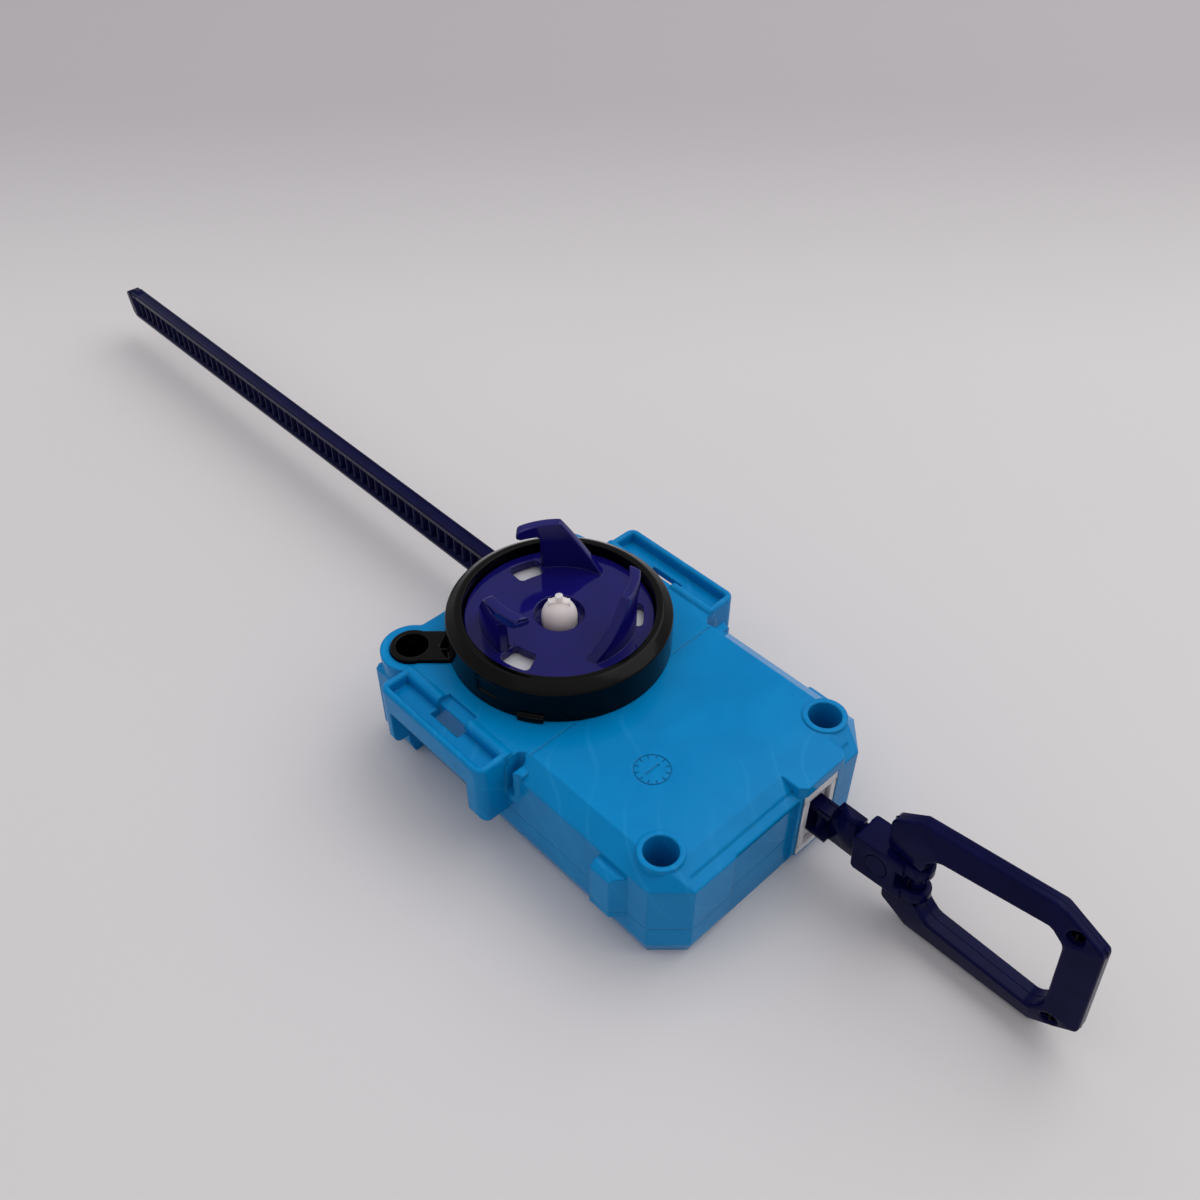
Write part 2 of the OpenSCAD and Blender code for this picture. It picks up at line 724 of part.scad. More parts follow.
module deck_shell() {
    color(blue) difference() {
        union() {
            difference() {
                union() {
                    wide_block();
                    slab(split_h, deck_h) tail_outline();
                    outlet_block(split_h, deck_h);
                    tail_block(split_h);
                    both_sides() wall_pad(split_h, deck_h);
                }
                cavity(split_h - over, deck_under);
                box([end_x - end_recess, -end_recess_y, split_h - over],
                    [end_x + over, block_y0, band_z]);
            }
            both_sides() side_rail();
            both_sides() side_groove(wall, deck_h - groove_h - wall, deck_under + crease_d);
            // Screw wells, bearing boss, axle boss and the guides of the strip
            at_wells() slab(split_h, deck_h + rim_h) circle(rim_r);
            at_near_boss() slab(split_h, deck_under + crease_d) circle(socket_r + wall);
            at_far_boss() slab(split_h, deck_under + crease_d) circle(rim_r);
            slab(deck_under - wall, deck_h) circle(shaft_r + wall);
            translate([idler_x, idler_y, 0])
                slab(gear_z + gear_w + gap * 3, deck_under + crease_d) circle(idler_hub_r);
            cord_guides(cord_top + cord_play, deck_under + crease_d);
            box([wall - tail_x - crease_d, cord_back + cord_play, split_h],
                [end_x - wall, cord_back + cord_play + wall, deck_under + crease_d]);
        }
        at_wells() slab(well_low, deck_h + rim_h + over) circle(well_r);
        at_wells() slab(split_h - over, well_low + over) circle(shank_r + gap);
        at_far_boss() slab(well_low, deck_h + over) circle(well_r);
        at_far_boss() slab(split_h - over, well_low + over) circle(shank_r + gap);
        at_near_boss() slab(socket_z, deck_h + over) circle(socket_r + gap / 2);
        at_near_boss() slab(split_h - over, socket_z + over) circle(shank_r + fit);
        slab(deck_h - tab_sink, deck_h + over) collar_tab(gap);
        slab(split_h, deck_h + over) circle(shaft_r + run);
        translate([idler_x, idler_y, 0]) slab(split_h, deck_under - crease_d) circle(axle_r + fit);
        cord_slot(-tail_x - boss_r, block_x + over);
        plate_pocket(fit);
        both_sides() rail_notch();
        both_sides() side_groove(0, deck_h - groove_h, deck_h + over);
        translate([crease_x, 0, deck_h]) rotate([90, 0, 0])
            slab(-body_hw, body_hw) polygon([[-crease_d, crease_d], [0, -crease_d], [crease_d, crease_d]]);
        dial_grooves();
    }
}

// Ribs that keep the strip level, between two heights
module cord_guides(z0, z1) {
    step = (tail_x + deck_end - 2 * wall) / (guide_count - 1);
    for (i = [0:guide_count - 1]) translate([wall - tail_x - crease_d + i * step, 0, 0])
        box([0, cord_front, z0], [wall, cord_back + cord_play + crease_d, z1]);
}

// Outline of the base before the tail, drawn in by d
module base_outline(d = 0) {
    polygon([
        [d - rail_x0, d - body_hw],
        [end_x - corner_x - d / 2, d - body_hw],
        [end_x - d, corner_y - body_hw + d / 2],
        [end_x - d, body_hw - corner_y - d / 2],
        [end_x - corner_x - d / 2, body_hw - d],
        [d - rail_x0, body_hw - d]]);
}

// Part of the base's tail between two sides, with the bevel round its foot
module tail_foot(x1, y0, y1) {
    hull() {
        box([foot_w - tail_x, y0 + foot_w, 0], [x1, y1 - foot_w, crease_d]);
        box([-tail_x, y0, foot_h], [x1, y1, split_h]);
    }
}

module boss_foot() {
    cylinder(h = foot_h, r1 = boss_r - foot_w, r2 = boss_r);
    slab(foot_h, split_h) circle(boss_r);
}

module base_shell() {
    color(blue) difference() {
        union() {
            difference() {
                union() {
                    hull() {
                        slab(0, crease_d) base_outline(foot_w);
                        slab(foot_h, split_h) base_outline();
                    }
                    tail_foot(0, -tail_hw, tail_hw);
                    tail_foot(-tail_block_x, -body_hw - tail_block_out, wall - tail_hw);
                    at_near_boss() boss_foot();
                    at_far_boss() boss_foot();
                    outlet_block(block_low, split_h);
                    both_sides() wall_pad(0, split_h);
                }
                cavity(floor_h, split_h + over);
                box([end_x - end_recess, -end_recess_y, -over],
                    [end_x + over, block_y0, split_h + over]);
            }
            // Screw posts, axle post, journal post and the guides of the strip
            at_wells() slab(floor_h - crease_d, split_h) circle(rim_r);
            at_near_boss() slab(floor_h - crease_d, split_h) circle(rim_r);
            at_far_boss() slab(floor_h - crease_d, split_h) circle(rim_r);
            slab(floor_h - crease_d, gear_z - gap) circle(journal_r + wall);
            translate([idler_x, idler_y, 0])
                slab(floor_h - crease_d, gear_z - gap * 3) circle(idler_hub_r);
            cord_guides(floor_h - crease_d, cord_low - cord_play);
        }
        at_wells() slab(split_h - bite, split_h + over) circle(shank_r + fit);
        at_near_boss() slab(split_h - bite, split_h + over) circle(shank_r + fit);
        at_far_boss() slab(split_h - bite, split_h + over) circle(shank_r + fit);
        slab(floor_h, gear_z) circle(journal_r + run);
        translate([idler_x, idler_y, 0]) slab(floor_h, gear_z) circle(axle_r + fit);
        cord_slot(-tail_x - boss_r, block_x + over);
        plate_pocket(fit);
    }
}

module collar_ring() {
    color(black) difference() {
        union() {
            translate([0, 0, deck_h]) rotate_extrude($fn = 144) polygon([
                [collar_in, 0], [collar_r, 0], [collar_r, collar_h - collar_bevel_h],
                [collar_r - collar_bevel_w, collar_h], [collar_in, collar_h]]);
            slab(deck_h - tab_sink, deck_h + tab_h) collar_tab();
            collar_lug();
            tab_fin();
            at_near_boss() slab(socket_z, deck_h + tab_h) circle(socket_r);
        }
        slab(deck_h - over, lip_z + over) circle(collar_in);
        at_near_boss() slab(socket_z + socket_t, deck_h + over + tab_h) circle(well_r);
        at_near_boss() slab(socket_z - over, lip_z) circle(shank_r + gap);
        collar_patch();
    }
}

// Flat tab that leads from its screw to the collar, grown by d
module collar_tab(d = 0) {
    difference() {
        translate([-boss_x, -boss_y]) rotate(tab_dir) {
            circle(tab_r + d);
            translate([0, -tab_w / 2 - d]) square([collar_r / 2, tab_w + 2 * d]);
        }
        circle((collar_in + collar_r) / 2 - d);
    }
}

// Bayonet lug at the foot of the collar
module collar_lug() {
    translate([0, 0, deck_h]) rotate(lug_a) rotate_extrude(angle = lug_sweep, $fn = 144)
        translate([collar_r - collar_bevel_w, 0]) square([collar_bevel_w + lug_out, collar_bevel_h]);
}

// Upright fin on the near edge of the tab that braces it against the collar
module tab_fin() {
    foot = sqrt(pow(collar_r, 2) - pow(tab_w / 2, 2));
    high = collar_h - 2 * collar_bevel_h;
    rotate(tab_dir + 180) translate([0, tab_w / 2, deck_h]) rotate([90, 0, 0])
        slab(0, fin_t) polygon([[foot - fin_t, 0], [foot + fin_out, 0],
            [foot + fin_out, tab_h], [foot - fin_t / 2, high], [foot - fin_t, high]]);
}

// Shallow rectangular sinking in the collar's wall
module collar_patch() {
    translate([0, 0, deck_h + patch_low]) rotate(patch_a) rotate_extrude(angle = patch_sweep, $fn = 144)
        translate([collar_r - patch_d, 0]) square([over, patch_h]);
}

module outlet_plate() {
    y0 = cord_front - cord_play;
    y1 = cord_back + cord_play;
    z0 = cord_low - cord_play;
    z1 = cord_top + cord_play;
    color(milk) difference() {
        box([block_x - plate_t, cord_mid - plate_w / 2, plate_z - plate_h / 2],
            [block_x, cord_mid + plate_w / 2, plate_z + plate_h / 2]);
        cord_slot(block_x - plate_t - over, block_x + over);
        hull() {
            box([block_x - plate_bevel, y0, z0], [block_x, y1, z1]);
            box([block_x, y0 - plate_bevel, z0 - plate_bevel],
                [block_x + crease_d, y1 + plate_bevel, z1 + plate_bevel]);
        }
    }
}

// Pan head screw that stands with its head's seat at the origin
module screw(length) {
    recess = head_h / 2;
    slot_w = head_r / 4;
    difference() {
        union() {
            slab(0, head_h) circle(head_r);
            slab(-length, crease_d) circle(shank_r);
        }
        for (a = [0, 90]) rotate(a)
            box([-head_r * slot_share / 2, -slot_w / 2, head_h - recess],
                [head_r * slot_share / 2, slot_w / 2, head_h + over]);
    }
}

module housing_screw(x, y) {
    color(steel) translate([x, y, well_low]) screw(well_floor + bite - gap);
}

module collar_screw() {
    color(steel) at_near_boss() translate([0, 0, socket_z + socket_t])
        screw(socket_z + socket_t - split_h + bite - gap);
}

module idler_axle() {
    color(steel) translate([idler_x, idler_y, 0]) slab(floor_h, deck_under - crease_d - gap) circle(axle_r);
}

function involute(a) = tan(a) * 180 / PI - a;
// Half angle of a tooth at radius r
function tooth_half(r) = (pitch / 2 - backlash) / 2 / pitch_r * 180 / PI
    + involute(pressure) - involute(acos(pitch_r * cos(pressure) / r));

module gear_outline(phase) {
    base = pitch_r * cos(pressure);
    tip = pitch_r + addendum;
    root = pitch_r - dedendum;
    steps = flank_steps;
    radii = [for (i = [0:steps]) base + (tip - base) * i / steps];
    polygon([for (k = [0:teeth - 1]) let (c = phase + k * 360 / teeth) each concat(
        [root * [cos(c - tooth_half(base)), sin(c - tooth_half(base))]],
        [for (i = [0:steps]) radii[i] * [cos(c - tooth_half(radii[i])), sin(c - tooth_half(radii[i]))]],
        [for (i = [steps:-1:0]) radii[i] * [cos(c + tooth_half(radii[i])), sin(c + tooth_half(radii[i]))]],
        [root * [cos(c + tooth_half(base)), sin(c + tooth_half(base))]])]);
}

module rotor_gear() {
    color(milk) difference() {
        union() {
            slab(gear_z, gear_z + gear_w) gear_outline(rotor_phase);
            slab(floor_h + gap, gear_z + over) circle(journal_r);
            slab(gear_z + gear_w - crease_d, seat_z) circle(shaft_r);
            slab(flange_z, seat_z) circle(ratchet_hub_r);
        }
        slab(cup_z, seat_z + over) circle(cup_r);
        slab(stem_floor, cup_z + over) circle(stem_r + run);
    }
}

module ratchet_plate() {
    color(milk) difference() {
        union() {
            slab(ratchet_z, ratchet_z + ratchet_t) circle(ratchet_r);
            slab(seat_z, ratchet_z + crease_d) circle(ratchet_hub_r);
        }
        slab(seat_z - over, disc_z) circle(neck_r + fit);
    }
}

// One prong: a curved wall with a slanted back and a finger
module prong() {
    r = (prong_in + prong_out) / 2;
    mid = (prong_a0 + prong_a3) / 2;
    tip_t = (prong_h - finger_clear) * tip_share;
    top = disc_z + prong_h;
    function across(a) = r * sin(a - mid);
    intersection() {
        slab(disc_z - crease_d, top) difference() {
            circle(prong_out);
            circle(prong_in);
        }
        rotate(mid) translate([0, 0, disc_z]) rotate([90, 0, 90]) slab(0, prong_out + over) polygon([
            [across(prong_a0), -crease_d], [across(prong_a2), -crease_d],
            [across(prong_a2), finger_clear - tip_soft], [across(prong_a2) + tip_soft, finger_clear],
            [across(prong_a3) - tip_cut, prong_h - tip_t], [across(prong_a3), prong_h - tip_t + tip_cut],
            [across(prong_a3), prong_h - tip_soft], [across(prong_a3) - tip_soft, prong_h],
            [across(prong_a1), prong_h]]);
    }
}

// Outline of a window of the disc about the +X direction, with rounded corners
module window_outline() {
    half = (slot_a1 - slot_a0) / 2;
    r = slot_round;
    a = half - asin(r / (slot_out - r));
    b = half - asin(r / (slot_in + r));
    polygon(concat(
        arc(polar(slot_out - r, -a), r, -half - 90, -a),
        arc([0, 0], slot_out, -a, a),
        arc(polar(slot_out - r, a), r, a, half + 90),
        arc(polar(slot_in + r, b), r, half + 90, b + 180),
        arc([0, 0], slot_in, b, -b),
        arc(polar(slot_in + r, -b), r, 180 - b, 270 - half)));
}

module prong_disc() {
    color(violet) difference() {
        union() {
            slab(disc_low, disc_z) circle(disc_r, $fn = 144);
            slab(seat_z, disc_low + crease_d) circle(neck_r);
            for (i = [0:prongs - 1]) rotate(i * 360 / prongs) prong();
        }
        slab(disc_low, disc_z + over) circle(hub_well_r);
        slab(ledge_z - over, disc_z) circle(hub_r + run);
        slab(seat_z - over, ledge_z) circle(hub_flange_r + gap);
        for (i = [0:prongs - 1]) rotate((slot_a0 + slot_a1) / 2 + i * 360 / prongs)
            slab(disc_low - over, disc_z + over) window_outline();
    }
}

module plunger() {
    soft = hub_r / 8;
    color(milk) {
        rotate_extrude() polygon([
            [0, stem_floor + hub_travel + gap], [stem_r, stem_floor + hub_travel + gap],
            [stem_r, hub_flange_z], [hub_flange_r, hub_flange_z],
            [hub_flange_r, hub_flange_z + hub_flange_t], [hub_r, hub_flange_z + hub_flange_t],
            [hub_r, disc_z + hub_h - soft], [hub_r - soft, disc_z + hub_h],
            [crown_r + soft, disc_z + hub_h], [crown_r, disc_z + hub_h + soft],
            [crown_r, disc_z + crown_h - soft], [crown_r - soft, disc_z + crown_h],
            [knob_r, disc_z + crown_h], [knob_r, disc_z + knob_h - soft / 2],
            [knob_r - soft / 2, disc_z + knob_h], [0, disc_z + knob_h]]);
    }
}

// Points of one ring of the spring's wire at turn t
function spring_ring(t, rise_per_turn, z0) = let (a = 360 * t) [for (j = [0:wire_sides - 1])
    let (b = 360 * j / wire_sides, r = spring_r + wire_d / 2 * cos(b))
    [r * cos(a), r * sin(a), z0 + rise_per_turn * t + wire_d / 2 * sin(b)]];

module plunger_spring() {
    z0 = cup_z + wire_d / 2 + gap / 4;
    z1 = hub_flange_z - wire_d / 2 - gap / 4;
    rise_per_turn = (z1 - z0) / turns;
    rings = turns * spring_rings;
    points = [for (i = [0:rings]) each spring_ring(i / spring_rings, rise_per_turn, z0)];
    sides = [for (i = [0:rings - 1], j = [0:wire_sides - 1]) let (
        a = i * wire_sides + j,
        b = i * wire_sides + (j + 1) % wire_sides)
        each [[a, b, b + wire_sides], [a, b + wire_sides, a + wire_sides]]];
    first = [for (j = [1:wire_sides - 2]) [0, j + 1, j]];
    n = rings * wire_sides;
    last = [for (j = [1:wire_sides - 2]) [n, n + j, n + j + 1]];
    color(steel) polyhedron(points, concat(sides, first, last), convexity = 10);
    echo(least_gap_between_turns = rise_per_turn - wire_d);
}

module idler_gear() {
    color(milk) translate([idler_x, idler_y, 0]) difference() {
        union() {
            slab(gear_z, gear_z + gear_w) gear_outline(idler_phase);
            slab(gear_z - gap * 2, gear_z + gear_w + gap * 2) circle(idler_hub_r);
        }
        slab(floor_h, deck_h) circle(axle_r + run);
    }
}

// Teeth of the strip seen from above
module rack_teeth() {
    half = (pitch / 2 - backlash) / 2;
    lean = tan(pressure);
    for (k = [rack_first:rack_last]) translate([idler_x + k * pitch, 0]) polygon([
        [-half - lean * (root_line - pitch_line), root_line + crease_d],
        [-half - lean * (root_line - pitch_line), root_line],
        [-half + lean * addendum, pitch_line - addendum],
        [half - lean * addendum, pitch_line - addendum],
        [half + lean * (root_line - pitch_line), root_line],
        [half + lean * (root_line - pitch_line), root_line + crease_d]]);
}

// Side view of the strip with its slanted tip
module strip_outline() {
    r = cord_h / 6;
    polygon([
        [tip_slant - cord_tip, cord_low], [neck_x0 + over, cord_low],
        [neck_x0 + over, cord_top - ridge_h], [r - cord_tip, cord_top - ridge_h],
        [-cord_tip, cord_top - ridge_h - r], [tip_slant / 2 - cord_tip, cord_low + flange_low]]);
}

module ripcord() {
    tooth_z0 = cord_low + flange_low;
    tooth_z1 = cord_top - flange_top;
    color(navy) difference() {
        union() {
            difference() {
                rotate([90, 0, 0]) slab(-cord_back, -cord_front) strip_outline();
                box([-cord_tip - over, cord_front - over, tooth_z0], [neck_x0, root_line, tooth_z1]);
            }
            slab(tooth_z0 - crease_d, tooth_z1 + crease_d) rack_teeth();
            for (y = [cord_front, cord_back - ridge_w])
                box([cord_h / 4 - cord_tip, y, cord_top - ridge_h - crease_d], [neck_x0, y + ridge_w, cord_top]);
            box([neck_x0, pull_y - neck_w / 2, neck_z - neck_h / 2],
                [neck_x1, pull_y + neck_w / 2, neck_z + neck_h / 2]);
            box([neck_x1 - crease_d, pull_y - neck_w / 2, pin_z - tongue_hh],
                [pin_x, pull_y + neck_w / 2, pin_z + tongue_hh]);
            translate([pin_x, pull_y, pin_z]) rotate([90, 0, 0])
                slab(-neck_w / 2, neck_w / 2) circle(tongue_r);
        }
        translate([pin_x, pull_y, pin_z]) rotate([90, 0, 0])
            slab(-head_w, head_w) circle(pin_r + run);
    }
}

// Places head and handle on the pin, with their rise
module on_pin() {
    translate([pin_x, pull_y, pin_z]) rotate([0, -rise, 0]) children();
}

module swivel_head() {
    hw = head_w / 2;
    soft = eye_t / 4;
    color(navy) on_pin() difference() {
        union() {
            rotate([90, 0, 0]) slab(-hw, hw) polygon([
                [-head_l, soft - head_down], [soft - head_l, -head_down], [head_l, -head_down],
                [head_l, head_up], [soft - head_l, head_up], [-head_l, head_up - soft]]);
            for (z = [-head_down, head_up - eye_t]) slab(z, z + eye_t) {
                translate([eye_x, 0]) circle(eye_r);
                translate([head_l - over, -eye_r]) square([eye_x - head_l + over, 2 * eye_r]);
            }
        }
        box([-head_l - over, -neck_w / 2 - gap / 4, -throat_hh], [0, neck_w / 2 + gap / 4, throat_hh]);
        rotate([90, 0, 0]) slab(-neck_w / 2 - gap / 4, neck_w / 2 + gap / 4) circle(throat_hh);
        rotate([90, 0, 0]) slab(-head_w, head_w) circle(pin_r + fit);
        translate([eye_x, 0, 0]) slab(-head_down - over, head_up + over) circle(spindle_r + run);
        box([eye_x - eye_r - gap, -head_w, eye_t - head_down], [eye_x + 2 * eye_r, head_w, head_up - eye_t]);
    }
}

module head_pin() {
    color(navy) on_pin() rotate([90, 0, 0]) slab(-head_w / 2, head_w / 2) circle(pin_r);
}

// Outer outline of the loop, seen from its side
module loop_outline() {
    translate([loop_x0, loop_z]) polygon([
        [0, near_cut_z - loop_h0], [near_cut_x, -loop_h0], [loop_l - far_cut_x, -loop_h1],
        [loop_l, far_cut_z - loop_h1], [loop_l, loop_h1 - far_cut_z], [loop_l - far_cut_x, loop_h1],
        [near_cut_x, loop_h0], [0, loop_h0 - near_cut_z]]);
}

// Hole of the loop, grown by d
module loop_hole(d = 0) {
    x0 = near_bar - d;
    x1 = loop_l - far_bar + d;
    c = hole_cut;
    translate([loop_x0, loop_z]) polygon([
        [x0, c - hole_h0 - d], [x0 + c, -hole_h0 - d], [x1 - c, -hole_h1 - d], [x1, c - hole_h1 - d],
        [x1, hole_h1 + d - c], [x1 - c, hole_h1 + d], [x0 + c, hole_h0 + d], [x0, hole_h0 + d - c]]);
}

// One half of the handle. The near half lies on the negative side
module handle_half(side) {
    jaw_top = head_up + gap;
    jaw_low = head_down + gap;
    s = side;
    difference() {
        hull() {
            rotate([90, 0, 0]) slab(min(0, -s * rim_ht), max(0, -s * rim_ht)) loop_outline();
            rotate([90, 0, 0]) slab(min(0, -s * hole_ht), max(0, -s * hole_ht)) loop_hole(ridge_w);
        }
        rotate([90, 0, 0]) slab(-over - hole_ht, hole_ht + over) loop_hole();
        box([loop_x0 - over, -head_w, -jaw_low], [loop_x0 + near_bar + over, head_w, jaw_top]);
        translate([eye_x, 0, 0])
            slab(-jaw_low - spindle_in - gap, jaw_top + spindle_in + gap) circle(spindle_r + fit);
        for (z = [-1, 1]) translate([loop_x0 + loop_l - grip_hole_x, 0, loop_z + z * grip_hole_z])
            rotate([90, 0, 0]) grip_hole(side);
    }
}

// Stepped hole for a screw of the handle: wide for its head, narrow for its shank
module grip_hole(side) {
    if (side < 0) {
        slab(rim_ht / 2, hole_ht + over) circle(grip_hole_r);
        slab(-over, rim_ht) circle(grip_hole_r / 2 + gap / 2);
    } else {
        slab(gap - hole_ht + rim_ht / 2, over) circle(grip_hole_r / 2 + fit);
    }
}

module handle_front() {
    color(navy) on_pin() handle_half(-1);
}

module handle_back() {
    color(navy) on_pin() handle_half(1);
}

module handle_spindle() {
    color(navy) on_pin() translate([eye_x, 0, 0])
        slab(-head_down - gap - spindle_in, head_up + gap + spindle_in) circle(spindle_r);
}

module handle_screw(z) {
    color(steel) on_pin() translate([loop_x0 + loop_l - grip_hole_x, 0, loop_z + z * grip_hole_z])
        rotate([90, 0, 0]) {
            slab(rim_ht / 2, rim_ht) circle(grip_hole_r - fit);
            slab(gap * 2 - rim_ht, rim_ht) circle(grip_hole_r / 2);
        }
}

deck_shell();
base_shell();
collar_ring();
outlet_plate();
housing_screw(well_x, -well_y);  // housing_screw_1
housing_screw(well_x, well_y);  // housing_screw_2
housing_screw(-far_boss_x, far_boss_y);  // housing_screw_3
collar_screw();
idler_axle();
prong_disc();
ratchet_plate();
rotor_gear();
idler_gear();
plunger();
plunger_spring();
ripcord();
swivel_head();
head_pin();
handle_front();
handle_back();
handle_spindle();
handle_screw(1);  // handle_screw_upper
handle_screw(-1);  // handle_screw_lower
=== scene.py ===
import math

import bmesh
import bpy
from mathutils import Matrix, Vector


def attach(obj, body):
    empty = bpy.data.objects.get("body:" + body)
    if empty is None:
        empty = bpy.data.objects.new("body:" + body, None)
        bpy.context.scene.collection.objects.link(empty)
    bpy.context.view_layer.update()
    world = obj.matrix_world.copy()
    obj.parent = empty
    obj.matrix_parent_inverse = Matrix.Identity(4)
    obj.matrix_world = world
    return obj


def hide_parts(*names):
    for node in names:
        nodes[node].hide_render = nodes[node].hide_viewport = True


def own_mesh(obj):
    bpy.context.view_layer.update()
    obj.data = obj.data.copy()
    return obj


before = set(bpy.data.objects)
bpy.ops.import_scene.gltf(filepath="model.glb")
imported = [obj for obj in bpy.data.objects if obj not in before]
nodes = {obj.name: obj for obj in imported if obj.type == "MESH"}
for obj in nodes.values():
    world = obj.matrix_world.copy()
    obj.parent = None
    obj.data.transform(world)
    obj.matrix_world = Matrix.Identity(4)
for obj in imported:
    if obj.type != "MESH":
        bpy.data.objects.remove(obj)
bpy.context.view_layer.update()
mm = 0.001


# Camera
# A phone held above the near corner, looking down over it at the launcher. The turn is written
# as the directions of the picture's right, up and depth. The focal length is in pixels.
phone = Vector((132.56, -115.82, 200.73)) * mm
right = Vector((0.69032, 0.72350, 0.00275))
up = Vector((-0.49885, 0.47322, 0.72609))
depth = Vector((0.52403, -0.50261, 0.68759))
focal, picture, sensor = 1213.88, 1200, 36

camera_data = bpy.data.cameras.new("camera")
camera_data.sensor_fit = "HORIZONTAL"
camera_data.sensor_width = sensor
camera_data.lens = sensor * focal / picture
camera_data.clip_start = 5 * mm
camera = bpy.data.objects.new("camera", camera_data)
camera.matrix_world = Matrix.Translation(phone) @ Matrix((right, up, depth)).transposed().to_4x4()
bpy.context.scene.collection.objects.link(camera)
bpy.context.scene.camera = camera
bpy.context.scene.view_settings.view_transform = "Standard"


# Table and light
# The launcher lies on a large pale grey table of matt laminate. Painted shade darkens it slowly
# towards its far side, as the lamps' light falls off. A wide window stands behind it and a
# ceiling light above. The room fills in, brighter at the far left than behind the camera.
def colour(code):
    """An sRGB colour, written as hex digits, as linear red, green, blue and alpha."""
    parts = [int(code[i:i + 2], 16) / 255 for i in (1, 3, 5)]
    return [p / 12.92 if p <= 0.04045 else ((p + 0.055) / 1.055) ** 2.4 for p in parts] + [1]


def add(tree, kind, inputs=(), **settings):
    """Adds a node with its settings. inputs maps sockets to values or to other nodes' outputs."""
    made = tree.nodes.new(kind)
    for name, value in settings.items():
        setattr(made, name, value)
    for socket, value in dict(inputs).items():
        if isinstance(value, bpy.types.NodeSocket):
            tree.links.new(value, made.inputs[socket])
        else:
            made.inputs[socket].default_value = value
    return made


def material(name):
    """An empty material with its output and a Principled shader."""
    made = bpy.data.materials.new(name)
    made.use_nodes = True
    made.node_tree.nodes.clear()
    tree = made.node_tree
    shader = add(tree, "ShaderNodeBsdfPrincipled")
    add(tree, "ShaderNodeOutputMaterial", {"Surface": shader.outputs[0]})
    return made, tree, shader


# Matt laminate: two close greys in a slow mottle, too dull to mirror the launcher. From 130 to
# 360 mm beyond it, seen from the phone, a darker grey is painted in: shade where the lamps'
# light falls off.
mottle_size, painted_shade_from, painted_shade_to = 111.1, 130, 360
laminate, tree, shader = material("matt_laminate")
place = add(tree, "ShaderNodeTexCoord").outputs["Object"]
mottle = add(tree, "ShaderNodeTexNoise", {"Vector": place, "Scale": 1 / (mottle_size * mm), "Detail": 2})
tint = add(tree, "ShaderNodeValToRGB", {"Fac": mottle.outputs["Fac"]})
tint.color_ramp.elements[0].color = colour("#D0CDCC")
tint.color_ramp.elements[1].color = colour("#D3D0CF")
away = add(tree, "ShaderNodeVectorMath", {0: place, 1: (-0.725, 0.689, 0)}, operation="DOT_PRODUCT")
far = add(tree, "ShaderNodeMapRange", {"Value": away.outputs["Value"], "From Min": painted_shade_from * mm,
                                       "From Max": painted_shade_to * mm, "To Min": 0, "To Max": 1},
          interpolation_type="SMOOTHSTEP")
# Painted shade: far from the phone the table's grey is mixed towards a darker grey.
painted_far_shade = add(tree, "ShaderNodeMix", {"Factor": far.outputs[0], "A": tint.outputs["Color"],
                                   "B": colour("#B2AEAF")}, data_type="RGBA")
tree.links.new(painted_far_shade.outputs["Result"], shader.inputs["Base Color"])
shader.inputs["Roughness"].default_value = 0.6
shader.inputs["Specular IOR Level"].default_value = 0.25

floor_r, floor_sides = 9.0, 64
floor_mesh = bpy.data.meshes.new("table")
floor_mesh.from_pydata([(floor_r * math.cos(a), floor_r * math.sin(a), 0) for a in
                        (math.tau * i / floor_sides for i in range(floor_sides))], [], [range(floor_sides)])
floor = bpy.data.objects.new("table", floor_mesh)
floor_mesh.materials.append(laminate)
bpy.context.scene.collection.objects.link(floor)


def soft_light(name, place, size, power):
    """A lamp with a wide face that shines at the origin. Its place and size are in metres."""
    data = bpy.data.lights.new(name, "AREA")
    data.shape = "RECTANGLE"
    data.size, data.size_y = size
    data.energy = power
    lamp = bpy.data.objects.new(name, data)
    away = Vector(place).normalized()
    lamp.matrix_world = Matrix.Translation(place) @ away.to_track_quat("Z", "Y").to_matrix().to_4x4()
    bpy.context.scene.collection.objects.link(lamp)


soft_light("window_light", (0.42, 1.05, 1.45), (2.2, 1.5), 14)
soft_light("ceiling_light", (0.05, 0.05, 2.2), (3.0, 3.0), 9)

# The world's normal points back along a ray, so the room is dim towards this direction and bright
# on the other side. The camera, mirrored and transmitted rays see a plain pale grey.
dim_side, dim, bright = (0.93, -0.2, -0.3), 0.38, 0.86
room = bpy.data.worlds.new("room")
room.use_nodes = True
tree = room.node_tree
tree.nodes.clear()
inward = add(tree, "ShaderNodeTexCoord").outputs["Normal"]
side = add(tree, "ShaderNodeVectorMath", {0: inward, 1: dim_side}, operation="DOT_PRODUCT")
level = add(tree, "ShaderNodeMapRange", {"Value": side.outputs["Value"], "From Min": -1, "From Max": 1,
                                         "To Min": dim, "To Max": bright})
fill = add(tree, "ShaderNodeBackground", {"Color": colour("#F2F1F7"), "Strength": level.outputs[0]})
seen = add(tree, "ShaderNodeBackground", {"Color": colour("#C9C8C9"), "Strength": 1.0})
ray = add(tree, "ShaderNodeLightPath").outputs
mirrored = add(tree, "ShaderNodeMath", {0: ray["Is Glossy Ray"], 1: ray["Is Transmission Ray"]},
               operation="MAXIMUM")
plainly = add(tree, "ShaderNodeMath", {0: ray["Is Camera Ray"], 1: mirrored.outputs[0]}, operation="MAXIMUM")
both = add(tree, "ShaderNodeMixShader", {"Fac": plainly.outputs[0], 1: fill.outputs[0], 2: seen.outputs[0]})
add(tree, "ShaderNodeOutputWorld", {"Surface": both.outputs[0]})
bpy.context.scene.world = room


